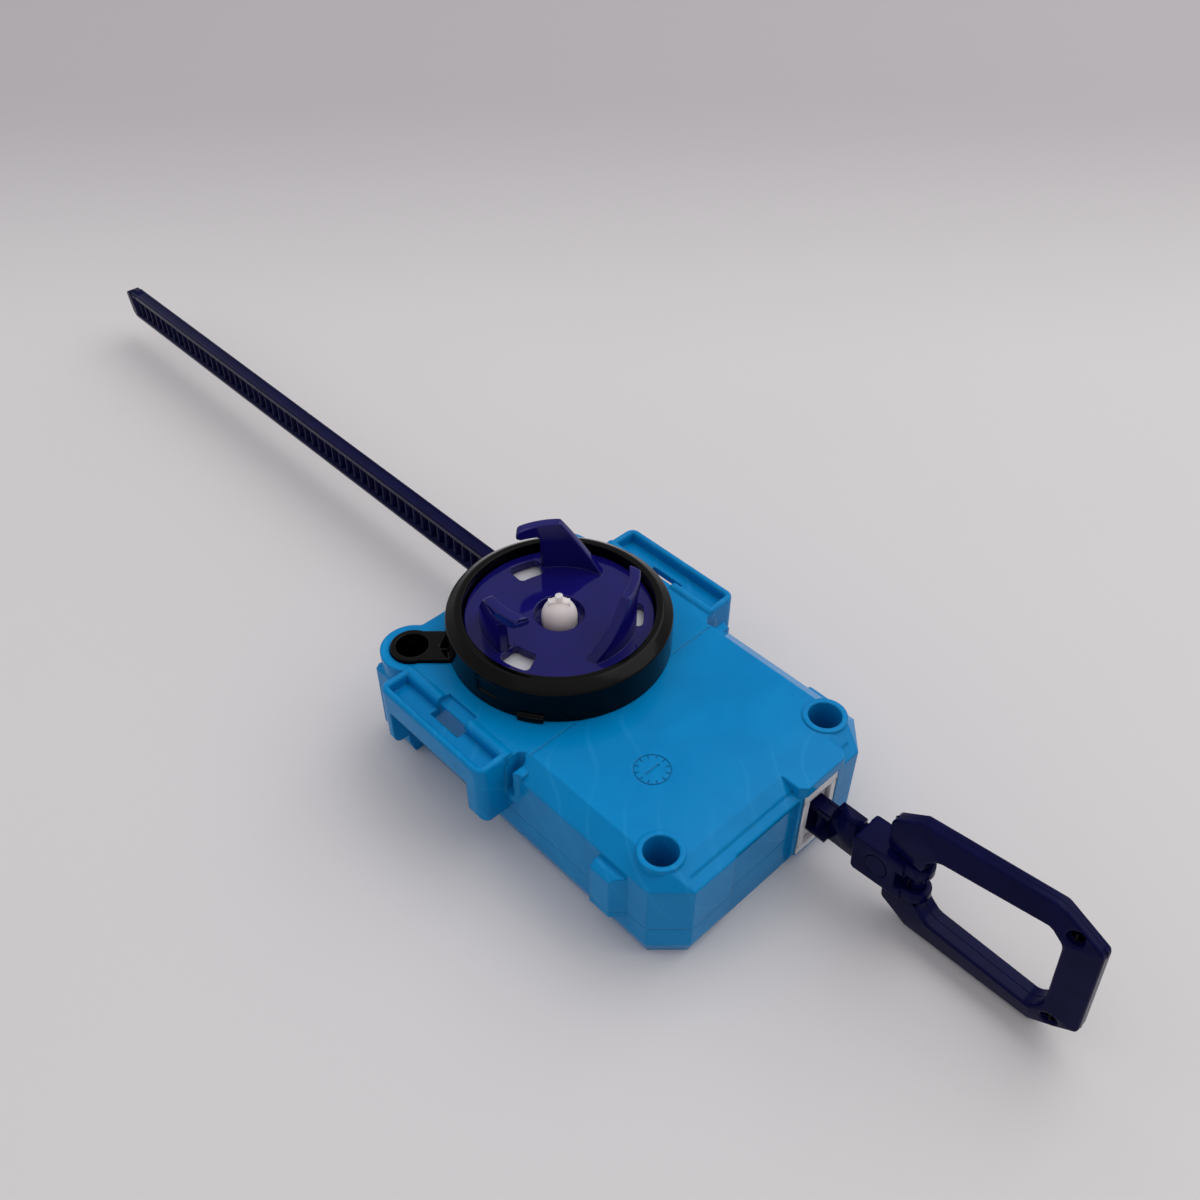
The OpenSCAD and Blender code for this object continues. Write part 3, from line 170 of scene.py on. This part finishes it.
# Blue shells
# Two injection moulded halves of glossy ABS, held together by screws in deep wells. The melt
# leaves faint pale streaks and slow waves in the gloss, and every outer edge is slightly rounded.
def moulded_plastic(name, tones, gloss, waves, grain, edge, specular, streak=None):
    """Moulded plastic: two close tones in slow swirls, a range of roughness and a fine bump.
    waves is the size in mm of the swirls, grain that of the fine texture, which is drawn coarser
    than a real one so that it shows, and edge the radius that the shading gives to edges. streak
    is the colour of thin flow lines, which show in patches only."""
    made, tree, shader = material(name)
    place = add(tree, "ShaderNodeTexCoord").outputs["Object"]
    swirl = add(tree, "ShaderNodeTexNoise", {"Vector": place, "Scale": 1 / (waves * mm), "Detail": 3,
                                             "Roughness": 0.45, "Distortion": 2.2})
    tint = add(tree, "ShaderNodeValToRGB", {"Fac": swirl.outputs["Fac"]})
    for stop, position, tone in zip(tint.color_ramp.elements, (0.3, 0.72), tones):
        stop.position = position
        stop.color = colour(tone)
    body = tint.outputs["Color"]
    if streak:
        line_gap, patch_size, strongest = 16, 30, 0.2
        lines = add(tree, "ShaderNodeTexWave", {"Vector": place, "Scale": 1 / (line_gap * mm),
                                                "Distortion": 9, "Detail": 1.5, "Detail Scale": 0.6},
                    bands_direction="DIAGONAL", wave_profile="SIN")
        thin = add(tree, "ShaderNodeMapRange", {"Value": lines.outputs["Fac"], "From Min": 0.95,
                                                "From Max": 1.0, "To Min": 0, "To Max": 1})
        patch = add(tree, "ShaderNodeTexNoise", {"Vector": place, "Scale": 1 / (patch_size * mm),
                                                 "Detail": 1})
        where = add(tree, "ShaderNodeMapRange", {"Value": patch.outputs["Fac"], "From Min": 0.47,
                                                 "From Max": 0.62, "To Min": 0, "To Max": strongest})
        share = add(tree, "ShaderNodeMath", {0: thin.outputs[0], 1: where.outputs[0]}, operation="MULTIPLY")
        body = add(tree, "ShaderNodeMix", {"Factor": share.outputs[0], "A": body, "B": colour(streak)},
                   data_type="RGBA").outputs["Result"]
    tree.links.new(body, shader.inputs["Base Color"])
    smudge = add(tree, "ShaderNodeTexNoise", {"Vector": place, "Scale": 1 / (waves * 0.6 * mm),
                                              "Detail": 4, "Roughness": 0.6})
    rough = add(tree, "ShaderNodeMapRange", {"Value": smudge.outputs["Fac"], "From Min": 0.3,
                                             "From Max": 0.75, "To Min": gloss[0], "To Max": gloss[1]})
    tree.links.new(rough.outputs[0], shader.inputs["Roughness"])
    shader.inputs["Specular IOR Level"].default_value = specular
    fine = add(tree, "ShaderNodeTexNoise", {"Vector": place, "Scale": 1 / (grain * mm), "Detail": 2})
    slow = add(tree, "ShaderNodeBump", {"Height": swirl.outputs["Fac"], "Strength": 0.12,
                                        "Distance": 0.25 * mm})
    bump = add(tree, "ShaderNodeBump", {"Height": fine.outputs["Fac"], "Strength": 0.1,
                                        "Distance": 0.02 * mm, "Normal": slow.outputs[0]})
    soft = add(tree, "ShaderNodeBevel", {"Radius": edge * mm, "Normal": bump.outputs[0]}, samples=6)
    tree.links.new(soft.outputs[0], shader.inputs["Normal"])
    return made


def dress(names, finish):
    """Puts a material on every slot of these CAD nodes."""
    for name in names:
        for slot in nodes[name].material_slots:
            slot.material = finish


# ABS off a polished tool: an even, saturated blue with a weak, clear shine.
blue_abs = moulded_plastic("moulded_abs_blue", ("#007BB7", "#0083C0"), gloss=(0.12, 0.22), waves=22,
                           grain=0.35, edge=0.7, specular=0.09, streak="#2E9BD2")
dress(["deck_shell", "base_shell"], blue_abs)


# Collar
# A separate ring of black polypropylene with a screw tab, moulded with a shiny face and held by
# the screw in its tab. Its edges are only just broken.
def plain_mesh(piece, finish, crease=None):
    """Turns a piece with modifiers into a plain smooth mesh of one material. Edges over crease
    degrees are sharp; without it the normals follow the large faces."""
    piece.data.polygons.foreach_set("use_smooth", [True] * len(piece.data.polygons))
    if crease is None:
        piece.modifiers.new("normals", "WEIGHTED_NORMAL").keep_sharp = True
    made = bpy.data.meshes.new_from_object(piece.evaluated_get(bpy.context.evaluated_depsgraph_get()))
    if crease is not None:
        made.polygons.foreach_set("use_smooth", [True] * len(made.polygons))
        made.set_sharp_from_angle(angle=math.radians(crease))
    piece.modifiers.clear()
    piece.data = made
    made.materials.clear()
    made.materials.append(finish)


def piece_of(name, shape, finish):
    """An object that holds the shape of a bmesh, with its faces turned outward."""
    bmesh.ops.remove_doubles(shape, verts=shape.verts, dist=0.001 * mm)
    bmesh.ops.recalc_face_normals(shape, faces=shape.faces)
    mesh = bpy.data.meshes.new(name)
    shape.to_mesh(mesh)
    shape.free()
    mesh.materials.append(finish)
    piece = bpy.data.objects.new(name, mesh)
    bpy.context.scene.collection.objects.link(piece)
    return piece


def soften(piece, width, segments=3):
    """Adds a bevel of a width in mm that follows the weights of the edges."""
    edges = piece.modifiers.new("edges", "BEVEL")
    edges.limit_method = "WEIGHT"
    edges.width = width * mm
    edges.segments = segments
    edges.use_clamp_overlap = False
    edges.loop_slide = False


def rounded(node, body, finish, width, weigh=lambda edge: 1.0):
    """A piece that stands for a CAD node, with its sharp edges really rounded. width is in mm and
    weigh gives the share of it that an edge gets. A blunt edge between large faces stays crisp."""
    sharp, blunt, large_face = math.radians(30), math.radians(3), 3 * mm * mm
    shape = bmesh.new()
    shape.from_mesh(nodes[node].data)
    bmesh.ops.remove_doubles(shape, verts=shape.verts, dist=0.001 * mm)
    weights = shape.edges.layers.float.new("bevel_weight_edge")
    for edge in (e for e in shape.edges if len(e.link_faces) == 2):
        if edge.calc_face_angle() > sharp:
            edge[weights] = weigh(edge)
        elif edge.calc_face_angle() > blunt:
            edge.smooth = min(face.calc_area() for face in edge.link_faces) < large_face
    piece = piece_of(node + "_rounded", shape, finish)
    soften(piece, width)
    plain_mesh(piece, finish)
    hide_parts(node)
    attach(piece, body)


# Polypropylene, coloured through: nearly black, with narrow dull highlights along the chamfer.
black_pp = moulded_plastic("moulded_polypropylene_black", ("#010101", "#020202"), gloss=(0.12, 0.2),
                           waves=9, grain=0.3, edge=0.25, specular=0.12)
rounded("collar_ring", "housing", black_pp, width=0.3)


# Prong disc
# One moulding of dark violet ABS that turns on the spindle. Its prongs are generously rounded,
# its other outer edges less.
def disc_weight(edge):
    """The share of the rounding that an edge of the disc gets. The prongs stand above foot."""
    foot = 31.2 * mm
    if max(vert.co.z for vert in edge.verts) > foot:
        return 1.0
    return 0.6 if edge.is_convex else 0.2


# ABS off a mirror-polished tool: dark violet that mirrors the room like lacquer.
violet_abs = moulded_plastic("polished_abs_violet", ("#110E58", "#141062"), gloss=(0.05, 0.1),
                             waves=16, grain=0.5, edge=0.2, specular=0.25)
rounded("prong_disc", "rotor", violet_abs, width=0.38, weigh=disc_weight)


# Gears and ratchet plate
# Injection moulded acetal, a self-lubricating resin. The pinion on the spindle and the idler on
# its steel pin are hidden in the housing, and the plate shows through the disc's windows.
def let_light_in(finish, share, reach, blue):
    """Lets a share of the light enter a plastic, reach mm deep in red, nearly as deep in green,
    and in blue as deep as the share blue of that."""
    shader = finish.node_tree.nodes["Principled BSDF"]
    shader.inputs["Subsurface Weight"].default_value = share
    shader.inputs["Subsurface Radius"].default_value = (1.0, 0.9, blue)
    shader.inputs["Subsurface Scale"].default_value = reach * mm


# Acetal: milky pale grey, with shadows that are softened by the light inside it.
acetal = moulded_plastic("moulded_acetal_milky", ("#CBCACE", "#D2D1D5"), gloss=(0.3, 0.42),
                         waves=6, grain=0.25, edge=0.25, specular=0.3)
let_light_in(acetal, share=0.6, reach=2.0, blue=0.8)
dress(["ratchet_plate", "rotor_gear", "idler_gear"], acetal)


# Plunger
# The sprung hub in the middle of the disc: a stem with a flange, a dome, a narrow bar across the
# dome and a small knob. Moulded in one piece of unfilled resin.
def lathe(shape, profile, steps=64):
    """Turns a profile of (radius, height) in mm round the Z axis. Its ends lie on the axis."""
    rings = []
    for radius, height in profile:
        if radius == 0:
            rings.append([shape.verts.new((0, 0, height * mm))] * steps)
        else:
            rings.append([shape.verts.new((radius * mm * math.cos(math.tau * i / steps),
                                           radius * mm * math.sin(math.tau * i / steps), height * mm))
                          for i in range(steps)])
    for low, high in zip(rings, rings[1:]):
        for i in range(steps):
            j = (i + 1) % steps
            corners = [low[i], low[j], high[j], high[i]]
            shape.faces.new([corner for k, corner in enumerate(corners) if corner is not corners[k - 1]])


def bar(shape, low, high, turn=Matrix()):
    """A box between two corners in mm, turned by a matrix."""
    made = bmesh.ops.create_cube(shape, size=1.0)["verts"]
    middle = (Vector(low) + Vector(high)) / 2
    size = Vector(high) - Vector(low)
    bmesh.ops.transform(shape, verts=made, matrix=turn @ Matrix.Translation(middle * mm) @
                        Matrix.Diagonal((*(size * mm), 1)))


def weigh_all(shape, limit=30):
    """Marks every edge over limit degrees for a bevel of the whole width."""
    weights = shape.edges.layers.float.new("bevel_weight_edge")
    for edge in shape.edges:
        if len(edge.link_faces) == 2 and edge.calc_face_angle() > math.radians(limit):
            edge[weights] = 1.0


# Unfilled resin: warm white that glows, with hardly any shading of its own.
milky = moulded_plastic("moulded_unfilled_resin", ("#E2D9D5", "#E8DFDB"), gloss=(0.35, 0.5),
                        waves=6, grain=0.25, edge=0.2, specular=0.3)
let_light_in(milky, share=1.0, reach=4.0, blue=0.85)

stem_r, stem_low = 1.55, 14.8
flange_r, flange_low, flange_top = 4.4, 26.4, 27.3
hub_r, dome_low, dome_h = 3.65, 30.0, 3.9
cross_x, cross_y, cross_low, cross_top, cross_turn = 2.25, 0.75, 32.2, 34.1, 46
knob_r, knob_low, knob_top = 0.8, 32.7, 35.4

dome = [(hub_r * math.cos(a), dome_low + dome_h * math.sin(a)) for a in
        (math.radians(7.5 * i) for i in range(12))]
shape = bmesh.new()
lathe(shape, [(0, stem_low), (stem_r, stem_low), (stem_r, flange_low), (flange_r, flange_low),
              (flange_r, flange_top), (hub_r, flange_top), *dome, (0, dome_low + dome_h)])
hub = piece_of("milky_plunger", shape, milky)
crossbar, knob = bmesh.new(), bmesh.new()
bar(crossbar, (-cross_x, -cross_y, cross_low), (cross_x, cross_y, cross_top),
    Matrix.Rotation(math.radians(cross_turn), 4, "Z"))
lathe(knob, [(0, knob_low), (knob_r, knob_low), (knob_r, knob_top), (0, knob_top)], steps=32)
for name, shape in (("crossbar", crossbar), ("knob", knob)):
    weigh_all(shape, limit=60)
    cap = piece_of(name, shape, milky)
    soften(cap, width=0.25)
    plain_mesh(cap, milky, crease=40)
    union = hub.modifiers.new(name, "BOOLEAN")
    union.operation, union.solver, union.object = "UNION", "EXACT", cap
    plain_mesh(hub, milky, crease=40)
    bpy.data.objects.remove(cap)
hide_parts("plunger")
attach(hub, "plunger")


# Outlet plate
# The white acetal plate round the strip's way out: a raised frame and, set back, a ledge that
# guides the strip. It is clipped into the outlet block.
def picture_frame(shape, outer, inner, behind, front):
    """A frame of four bars across the X axis, in mm. outer and inner are its two rectangles,
    written as (near Y, far Y, low Z, high Z)."""
    near, far, low, high = outer
    gap_near, gap_far, gap_low, gap_high = inner
    for start, end in (((near, low), (far, gap_low)), ((near, gap_high), (far, high)),
                       ((near, gap_low), (gap_near, gap_high)), ((gap_far, gap_low), (far, gap_high))):
        bar(shape, (behind, *start), (front, *end))


shape = bmesh.new()
picture_frame(shape, (6.475, 15.875, 3.15, 21.05), (8.0, 14.35, 5.4, 18.8), 58.5, 60.1)
picture_frame(shape, (7.5, 14.85, 4.9, 19.3), (9.35, 13.0, 7.85, 16.35), 58.52, 59.2)
weigh_all(shape)
plate = piece_of("outlet_frame", shape, acetal)
soften(plate, width=0.12, segments=2)
plain_mesh(plate, acetal)
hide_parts("outlet_plate")
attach(plate, "housing")


# Ripcord
# A moulded strip of tough nylon: a web between two flanges with rack teeth on its near side, a
# solid slanted tip, and a neck with a round tongue for the head's pin. The fork hides the tongue,
# which is left without its bore here.
def group(name, inputs):
    """A Geometry Nodes tree with named inputs. Gives the tree, the outputs of its input node and
    the identifier of each input."""
    tree = bpy.data.node_groups.new(name, "GeometryNodeTree")
    tree.interface.new_socket("Geometry", in_out="INPUT", socket_type="NodeSocketGeometry")
    tree.interface.new_socket("Geometry", in_out="OUTPUT", socket_type="NodeSocketGeometry")
    made = {label: tree.interface.new_socket(label, in_out="INPUT",
                                             socket_type="NodeSocket" + kind).identifier
            for label, kind in inputs.items()}
    return tree, tree.nodes.new("NodeGroupInput").outputs, made


def close(tree, geometry, given):
    """Ends a tree: its instances are made real, and it gets its material."""
    real = add(tree, "GeometryNodeRealizeInstances", {"Geometry": geometry.outputs[0]})
    skin = add(tree, "GeometryNodeSetMaterial", {"Geometry": real.outputs[0], "Material": given["Material"]})
    add(tree, "NodeGroupOutput", {"Geometry": skin.outputs[0]})


def grow(piece, tree, identifiers, values):
    """Adds a tree to a piece as a modifier, with its inputs set."""
    modifier = piece.modifiers.new(tree.name, "NODES")
    modifier.node_group = tree
    for label, value in values.items():
        modifier[identifiers[label]] = value


def prism(shape, outline, place, low, high):
    """A prism in mm. place turns a point of the outline and a depth into X, Y and Z."""
    ends = [[shape.verts.new(Vector(place(u, v, w)) * mm) for u, v in outline] for w in (low, high)]
    for end in ends:
        shape.faces.new(end)
    for i in range(len(outline)):
        j = (i + 1) % len(outline)
        shape.faces.new([ends[0][i], ends[0][j], ends[1][j], ends[1][i]])


def across(u, v, w):
    """Puts an outline of X and Z at the depth Y."""
    return u, w, v


rack, given, rack_inputs = group("rack", {"Tooth": "Object", "Count": "Int", "Pitch": "Float",
                                          "First": "Float", "Material": "Material"})
tooth = add(rack, "GeometryNodeObjectInfo", {"Object": given["Tooth"]})
start = add(rack, "ShaderNodeCombineXYZ", {"X": given["First"]})
step = add(rack, "ShaderNodeCombineXYZ", {"X": given["Pitch"]})
line = add(rack, "GeometryNodeMeshLine", {"Count": given["Count"], "Start Location": start.outputs[0],
                                          "Offset": step.outputs[0]})
row = add(rack, "GeometryNodeInstanceOnPoints", {"Points": line.outputs[0],
                                                 "Instance": tooth.outputs["Geometry"]})
whole = add(rack, "GeometryNodeJoinGeometry", {"Geometry": given["Geometry"]})
rack.links.new(row.outputs[0], whole.inputs["Geometry"])
close(rack, whole, given)

# Nylon, coloured through: a deep navy with a soft, weak shine that breaks up along the strip.
navy_nylon = moulded_plastic("moulded_nylon_navy", ("#06072F", "#090B3A"), gloss=(0.14, 0.24),
                             waves=12, grain=0.4, edge=0.2, specular=0.06)

front, back, low, top = 9.5, 12.85, 8.0, 16.2
rim, recess, upper_wall, lower_wall = 0.5, 2.4, 1.4, 1.2
strip_end, neck_start = -202.6, 63.8
shape = bmesh.new()
prism(shape, [(front, low), (back, low), (back, top), (back - rim, top), (back - rim, top - 0.2),
              (front + rim, top - 0.2), (front + rim, top), (front, top), (front, top - upper_wall),
              (front + recess, top - upper_wall), (front + recess, low + lower_wall),
              (front, low + lower_wall)], lambda u, v, w: (w, u, v), strip_end, neck_start)

# The tip stands a hair inside the strip's faces, so that no two faces lie in one plane.
hair = 0.03
prism(shape, [(-203.4, low + hair), (-201.0, low + hair), (-200.0, top - 0.26), (-204.6, top - 0.26),
              (-205.7, top - 0.8), (-206, top - 1.6), (-204.7, low + lower_wall)],
      across, front + hair, back - hair)

tongue_near, tongue_far, pin_x, pin_z, tongue_r = 10.6, 13.9, 75.5, 13.6, 3.2
prism(shape, [(neck_start, 8.375), (69.3, 8.375), (69.3, 16.825), (neck_start, 16.825)],
      across, tongue_near, tongue_far)
prism(shape, [(69.0, 11.4), (pin_x, 11.4), (pin_x, 15.8), (69.0, 15.8)], across, tongue_near, tongue_far)
prism(shape, [(pin_x + tongue_r * math.sin(a), pin_z + tongue_r * math.cos(a)) for a in
              (math.tau * i / 32 for i in range(32))], across, tongue_near, tongue_far)
weigh_all(shape, limit=40)
strip = piece_of("toothed_strip", shape, navy_nylon)
soften(strip, width=0.22, segments=2)
plain_mesh(strip, navy_nylon)

# One tooth stands at X = 0. The row is placed so that a tooth meets the idler at rest.
tooth_outline = [(-1.3, 12.0), (-1.27, 11.8), (-0.42, 10.05), (-0.2, 9.88),
                 (0.2, 9.88), (0.42, 10.05), (1.27, 11.8), (1.3, 12.0)]
tooth_low, tooth_top = low + 1.1, top - 1.3
module, tooth_count, idler_x, teeth_before = 1.0, 84, 11.062, 67
pitch = math.pi * module
shape = bmesh.new()
prism(shape, tooth_outline, lambda u, v, w: (u, v, w), tooth_low, tooth_top)
one_tooth = piece_of("one_tooth", shape, navy_nylon)
grow(strip, rack, rack_inputs, {"Tooth": one_tooth, "Count": tooth_count, "Pitch": pitch * mm,
                                "First": (idler_x - teeth_before * pitch) * mm, "Material": navy_nylon})
plain_mesh(strip, navy_nylon)
bpy.data.objects.remove(one_tooth)
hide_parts("ripcord")
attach(strip, "cord")


# Swivel head and handle
# Navy nylon as well: a fork with a cross pin, and an octagonal loop of two halves, held by two
# screws. The seam between the halves stays nearly sharp, and the loop's corners are well rounded.
def loop_weight(edge):
    """The share of the rounding that an edge of the loop gets: hardly any at the seam, most on
    the corners that run across the loop, and a third elsewhere."""
    seam_y, along = 12.25 * mm, edge.verts[1].co - edge.verts[0].co
    if all(abs(vert.co.y - seam_y) < 0.02 * mm for vert in edge.verts):
        return 0.07
    return 0.9 if abs(along.normalized().y) > 0.6 and along.length > 1.2 * mm else 0.32


dress(["head_pin", "handle_spindle"], navy_nylon)
rounded("swivel_head", "head", navy_nylon, width=0.35)
rounded("handle_front", "handle", navy_nylon, width=1.4, weigh=loop_weight)
rounded("handle_back", "handle", navy_nylon, width=1.4, weigh=loop_weight)


# Idler's pin and plunger's spring
# A turned steel pin that is held in the shells, and a coil of steel wire under the plunger's
# flange.
def metal(name, tones, gloss):
    """Plated or almost black steel: two tones in spots, drawn coarser than real ones so that they
    show, and a range of roughness."""
    spot_size, edge = 0.8, 0.15
    made, tree, shader = material(name)
    place = add(tree, "ShaderNodeTexCoord").outputs["Object"]
    spots = add(tree, "ShaderNodeTexNoise", {"Vector": place, "Scale": 1 / (spot_size * mm), "Detail": 4})
    tint = add(tree, "ShaderNodeValToRGB", {"Fac": spots.outputs["Fac"]})
    for stop, tone in zip(tint.color_ramp.elements, tones):
        stop.color = colour(tone)
    tree.links.new(tint.outputs["Color"], shader.inputs["Base Color"])
    rough = add(tree, "ShaderNodeMapRange", {"Value": spots.outputs["Fac"], "To Min": gloss[0],
                                             "To Max": gloss[1]})
    tree.links.new(rough.outputs[0], shader.inputs["Roughness"])
    shader.inputs["Metallic"].default_value = 1
    soft = add(tree, "ShaderNodeBevel", {"Radius": edge * mm}, samples=6)
    tree.links.new(soft.outputs[0], shader.inputs["Normal"])
    return made


# Zinc plate: a bright grey, slightly spotted, with a satin shine.
zinc = metal("zinc_plated_steel", ("#9FA2A6", "#C9CBCD"), gloss=(0.22, 0.4))
dress(["idler_axle"], zinc)

coil, given, coil_inputs = group("coil", {"Rings": "Float", "Radius": "Float", "Rise": "Float",
                                          "Wire Radius": "Float", "Material": "Material"})
wind = add(coil, "GeometryNodeCurveSpiral", {"Resolution": 24, "Rotations": given["Rings"],
                                             "Start Radius": given["Radius"],
                                             "End Radius": given["Radius"], "Height": given["Rise"]})
wire = add(coil, "GeometryNodeCurvePrimitiveCircle", {"Resolution": 10, "Radius": given["Wire Radius"]})
tube = add(coil, "GeometryNodeCurveToMesh", {"Curve": wind.outputs[0], "Profile Curve": wire.outputs[0],
                                             "Fill Caps": True})
close(coil, tube, given)

spring_low, spring_high, spring_r, wire_r, press = 17.1, 26.2, 2.4, 0.28, 1.5
spring = piece_of("coil_spring", bmesh.new(), zinc)
grow(spring, coil, coil_inputs, {"Rings": 8.0, "Radius": spring_r * mm, "Wire Radius": wire_r * mm,
                                 "Rise": (spring_high - spring_low - 2 * wire_r) * mm, "Material": zinc})
plain_mesh(spring, zinc)
spring.data.transform(Matrix.Translation((0, 0, (spring_low + wire_r) * mm)))
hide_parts("plunger_spring")
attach(spring, "rotor")
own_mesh(spring)


# Screws
# Steel pan heads with a cross recess over a rolled thread, all from one tree. Three hold the
# shells and one the collar's tab, and two small ones hold the handle's halves.
screw_sizes = ("Head Radius", "Head Height", "Shank Radius", "Pitch", "Slot Width", "Length")
screw, given, screw_inputs = group("screw", {**dict.fromkeys(screw_sizes, "Float"), "Material": "Material"})
top_r, slot_reach, slot_depth, root_r, point = (
    add(screw, "ShaderNodeMath", {0: given[size], 1: share}, operation="MULTIPLY").outputs[0]
    for size, share in (("Head Radius", 0.86), ("Head Radius", 1.3), ("Head Height", 1.1),
                        ("Shank Radius", 0.78), ("Length", -1)))
turns = add(screw, "ShaderNodeMath", {0: given["Length"], 1: given["Pitch"]}, operation="DIVIDE")
pan = add(screw, "GeometryNodeMeshCone", {"Vertices": 40, "Radius Top": top_r,
                                          "Radius Bottom": given["Head Radius"],
                                          "Depth": given["Head Height"]})
slots = add(screw, "GeometryNodeJoinGeometry")
for slot_x, slot_y in ((slot_reach, given["Slot Width"]), (given["Slot Width"], slot_reach)):
    size = add(screw, "ShaderNodeCombineXYZ", {"X": slot_x, "Y": slot_y, "Z": slot_depth})
    block = add(screw, "GeometryNodeMeshCube", {"Size": size.outputs[0]})
    screw.links.new(block.outputs[0], slots.inputs[0])
lift = add(screw, "ShaderNodeCombineXYZ", {"Z": given["Head Height"]})
raised = add(screw, "GeometryNodeTransform", {"Geometry": slots.outputs[0], "Translation": lift.outputs[0]})
head = add(screw, "GeometryNodeMeshBoolean", {"Mesh 1": pan.outputs[0], "Mesh 2": raised.outputs[0]},
           operation="DIFFERENCE")
ring = add(screw, "GeometryNodeMeshCone", {"Vertices": 32, "Radius Top": given["Shank Radius"],
                                           "Radius Bottom": root_r, "Depth": given["Pitch"]})
lowest = add(screw, "ShaderNodeCombineXYZ", {"Z": point})
rise = add(screw, "ShaderNodeCombineXYZ", {"Z": given["Pitch"]})
down = add(screw, "GeometryNodeMeshLine", {"Count": turns.outputs[0], "Start Location": lowest.outputs[0],
                                           "Offset": rise.outputs[0]})
thread = add(screw, "GeometryNodeInstanceOnPoints", {"Points": down.outputs[0], "Instance": ring.outputs[0]})
whole = add(screw, "GeometryNodeJoinGeometry", {"Geometry": head.outputs[0]})
screw.links.new(thread.outputs[0], whole.inputs[0])
close(screw, whole, given)

# Almost black steel, with a dull shine on the head's rim.
black_steel = metal("almost_black_steel", ("#0C0C0E", "#151518"), gloss=(0.3, 0.5))


def at(x, y, z):
    """A place in mm. A screw has its head's lower face there."""
    return Matrix.Translation(Vector((x, y, z)) * mm)


def in_handle(height):
    """The place of a screw in the loop's far end, which droops by 4.6 degrees from the head's
    pin. Its head looks to the near side."""
    droop = Matrix.Rotation(math.radians(-4.6), 4, "Y")
    sideways = Matrix.Rotation(math.radians(90), 4, "X")
    return at(pin_x, 12.25, pin_z) @ droop @ at(36.1, -0.67, height) @ sideways


# Sizes in mm in the order of screw_sizes, without the length.
large = (2.7, 1.8, 1.5, 0.8, 0.7)
small = (1.47, 0.67, 0.75, 0.45, 0.4)
for node, body, sizes, length, place, finish in (
        ("housing_screw_1", "housing", large, 8.0, at(51, -22.65, 11.8), zinc),
        ("housing_screw_2", "housing", large, 8.0, at(51, 22.65, 11.8), zinc),
        ("housing_screw_3", "housing", large, 8.0, at(-19.2, 18.6, 11.8), zinc),
        ("collar_screw", "housing", large, 13.2, at(-18.5, -23.8, 17.0), zinc),
        ("handle_screw_upper", "handle", small, 1.6, in_handle(12.36), black_steel),
        ("handle_screw_lower", "handle", small, 1.6, in_handle(-10.84), black_steel)):
    made = piece_of(node + "_turned", bmesh.new(), finish)
    values = {label: size * mm for label, size in zip(screw_sizes, (*sizes, length))}
    grow(made, screw, screw_inputs, {**values, "Material": finish})
    plain_mesh(made, finish)
    made.data.transform(place)
    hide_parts(node)
    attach(made, body)
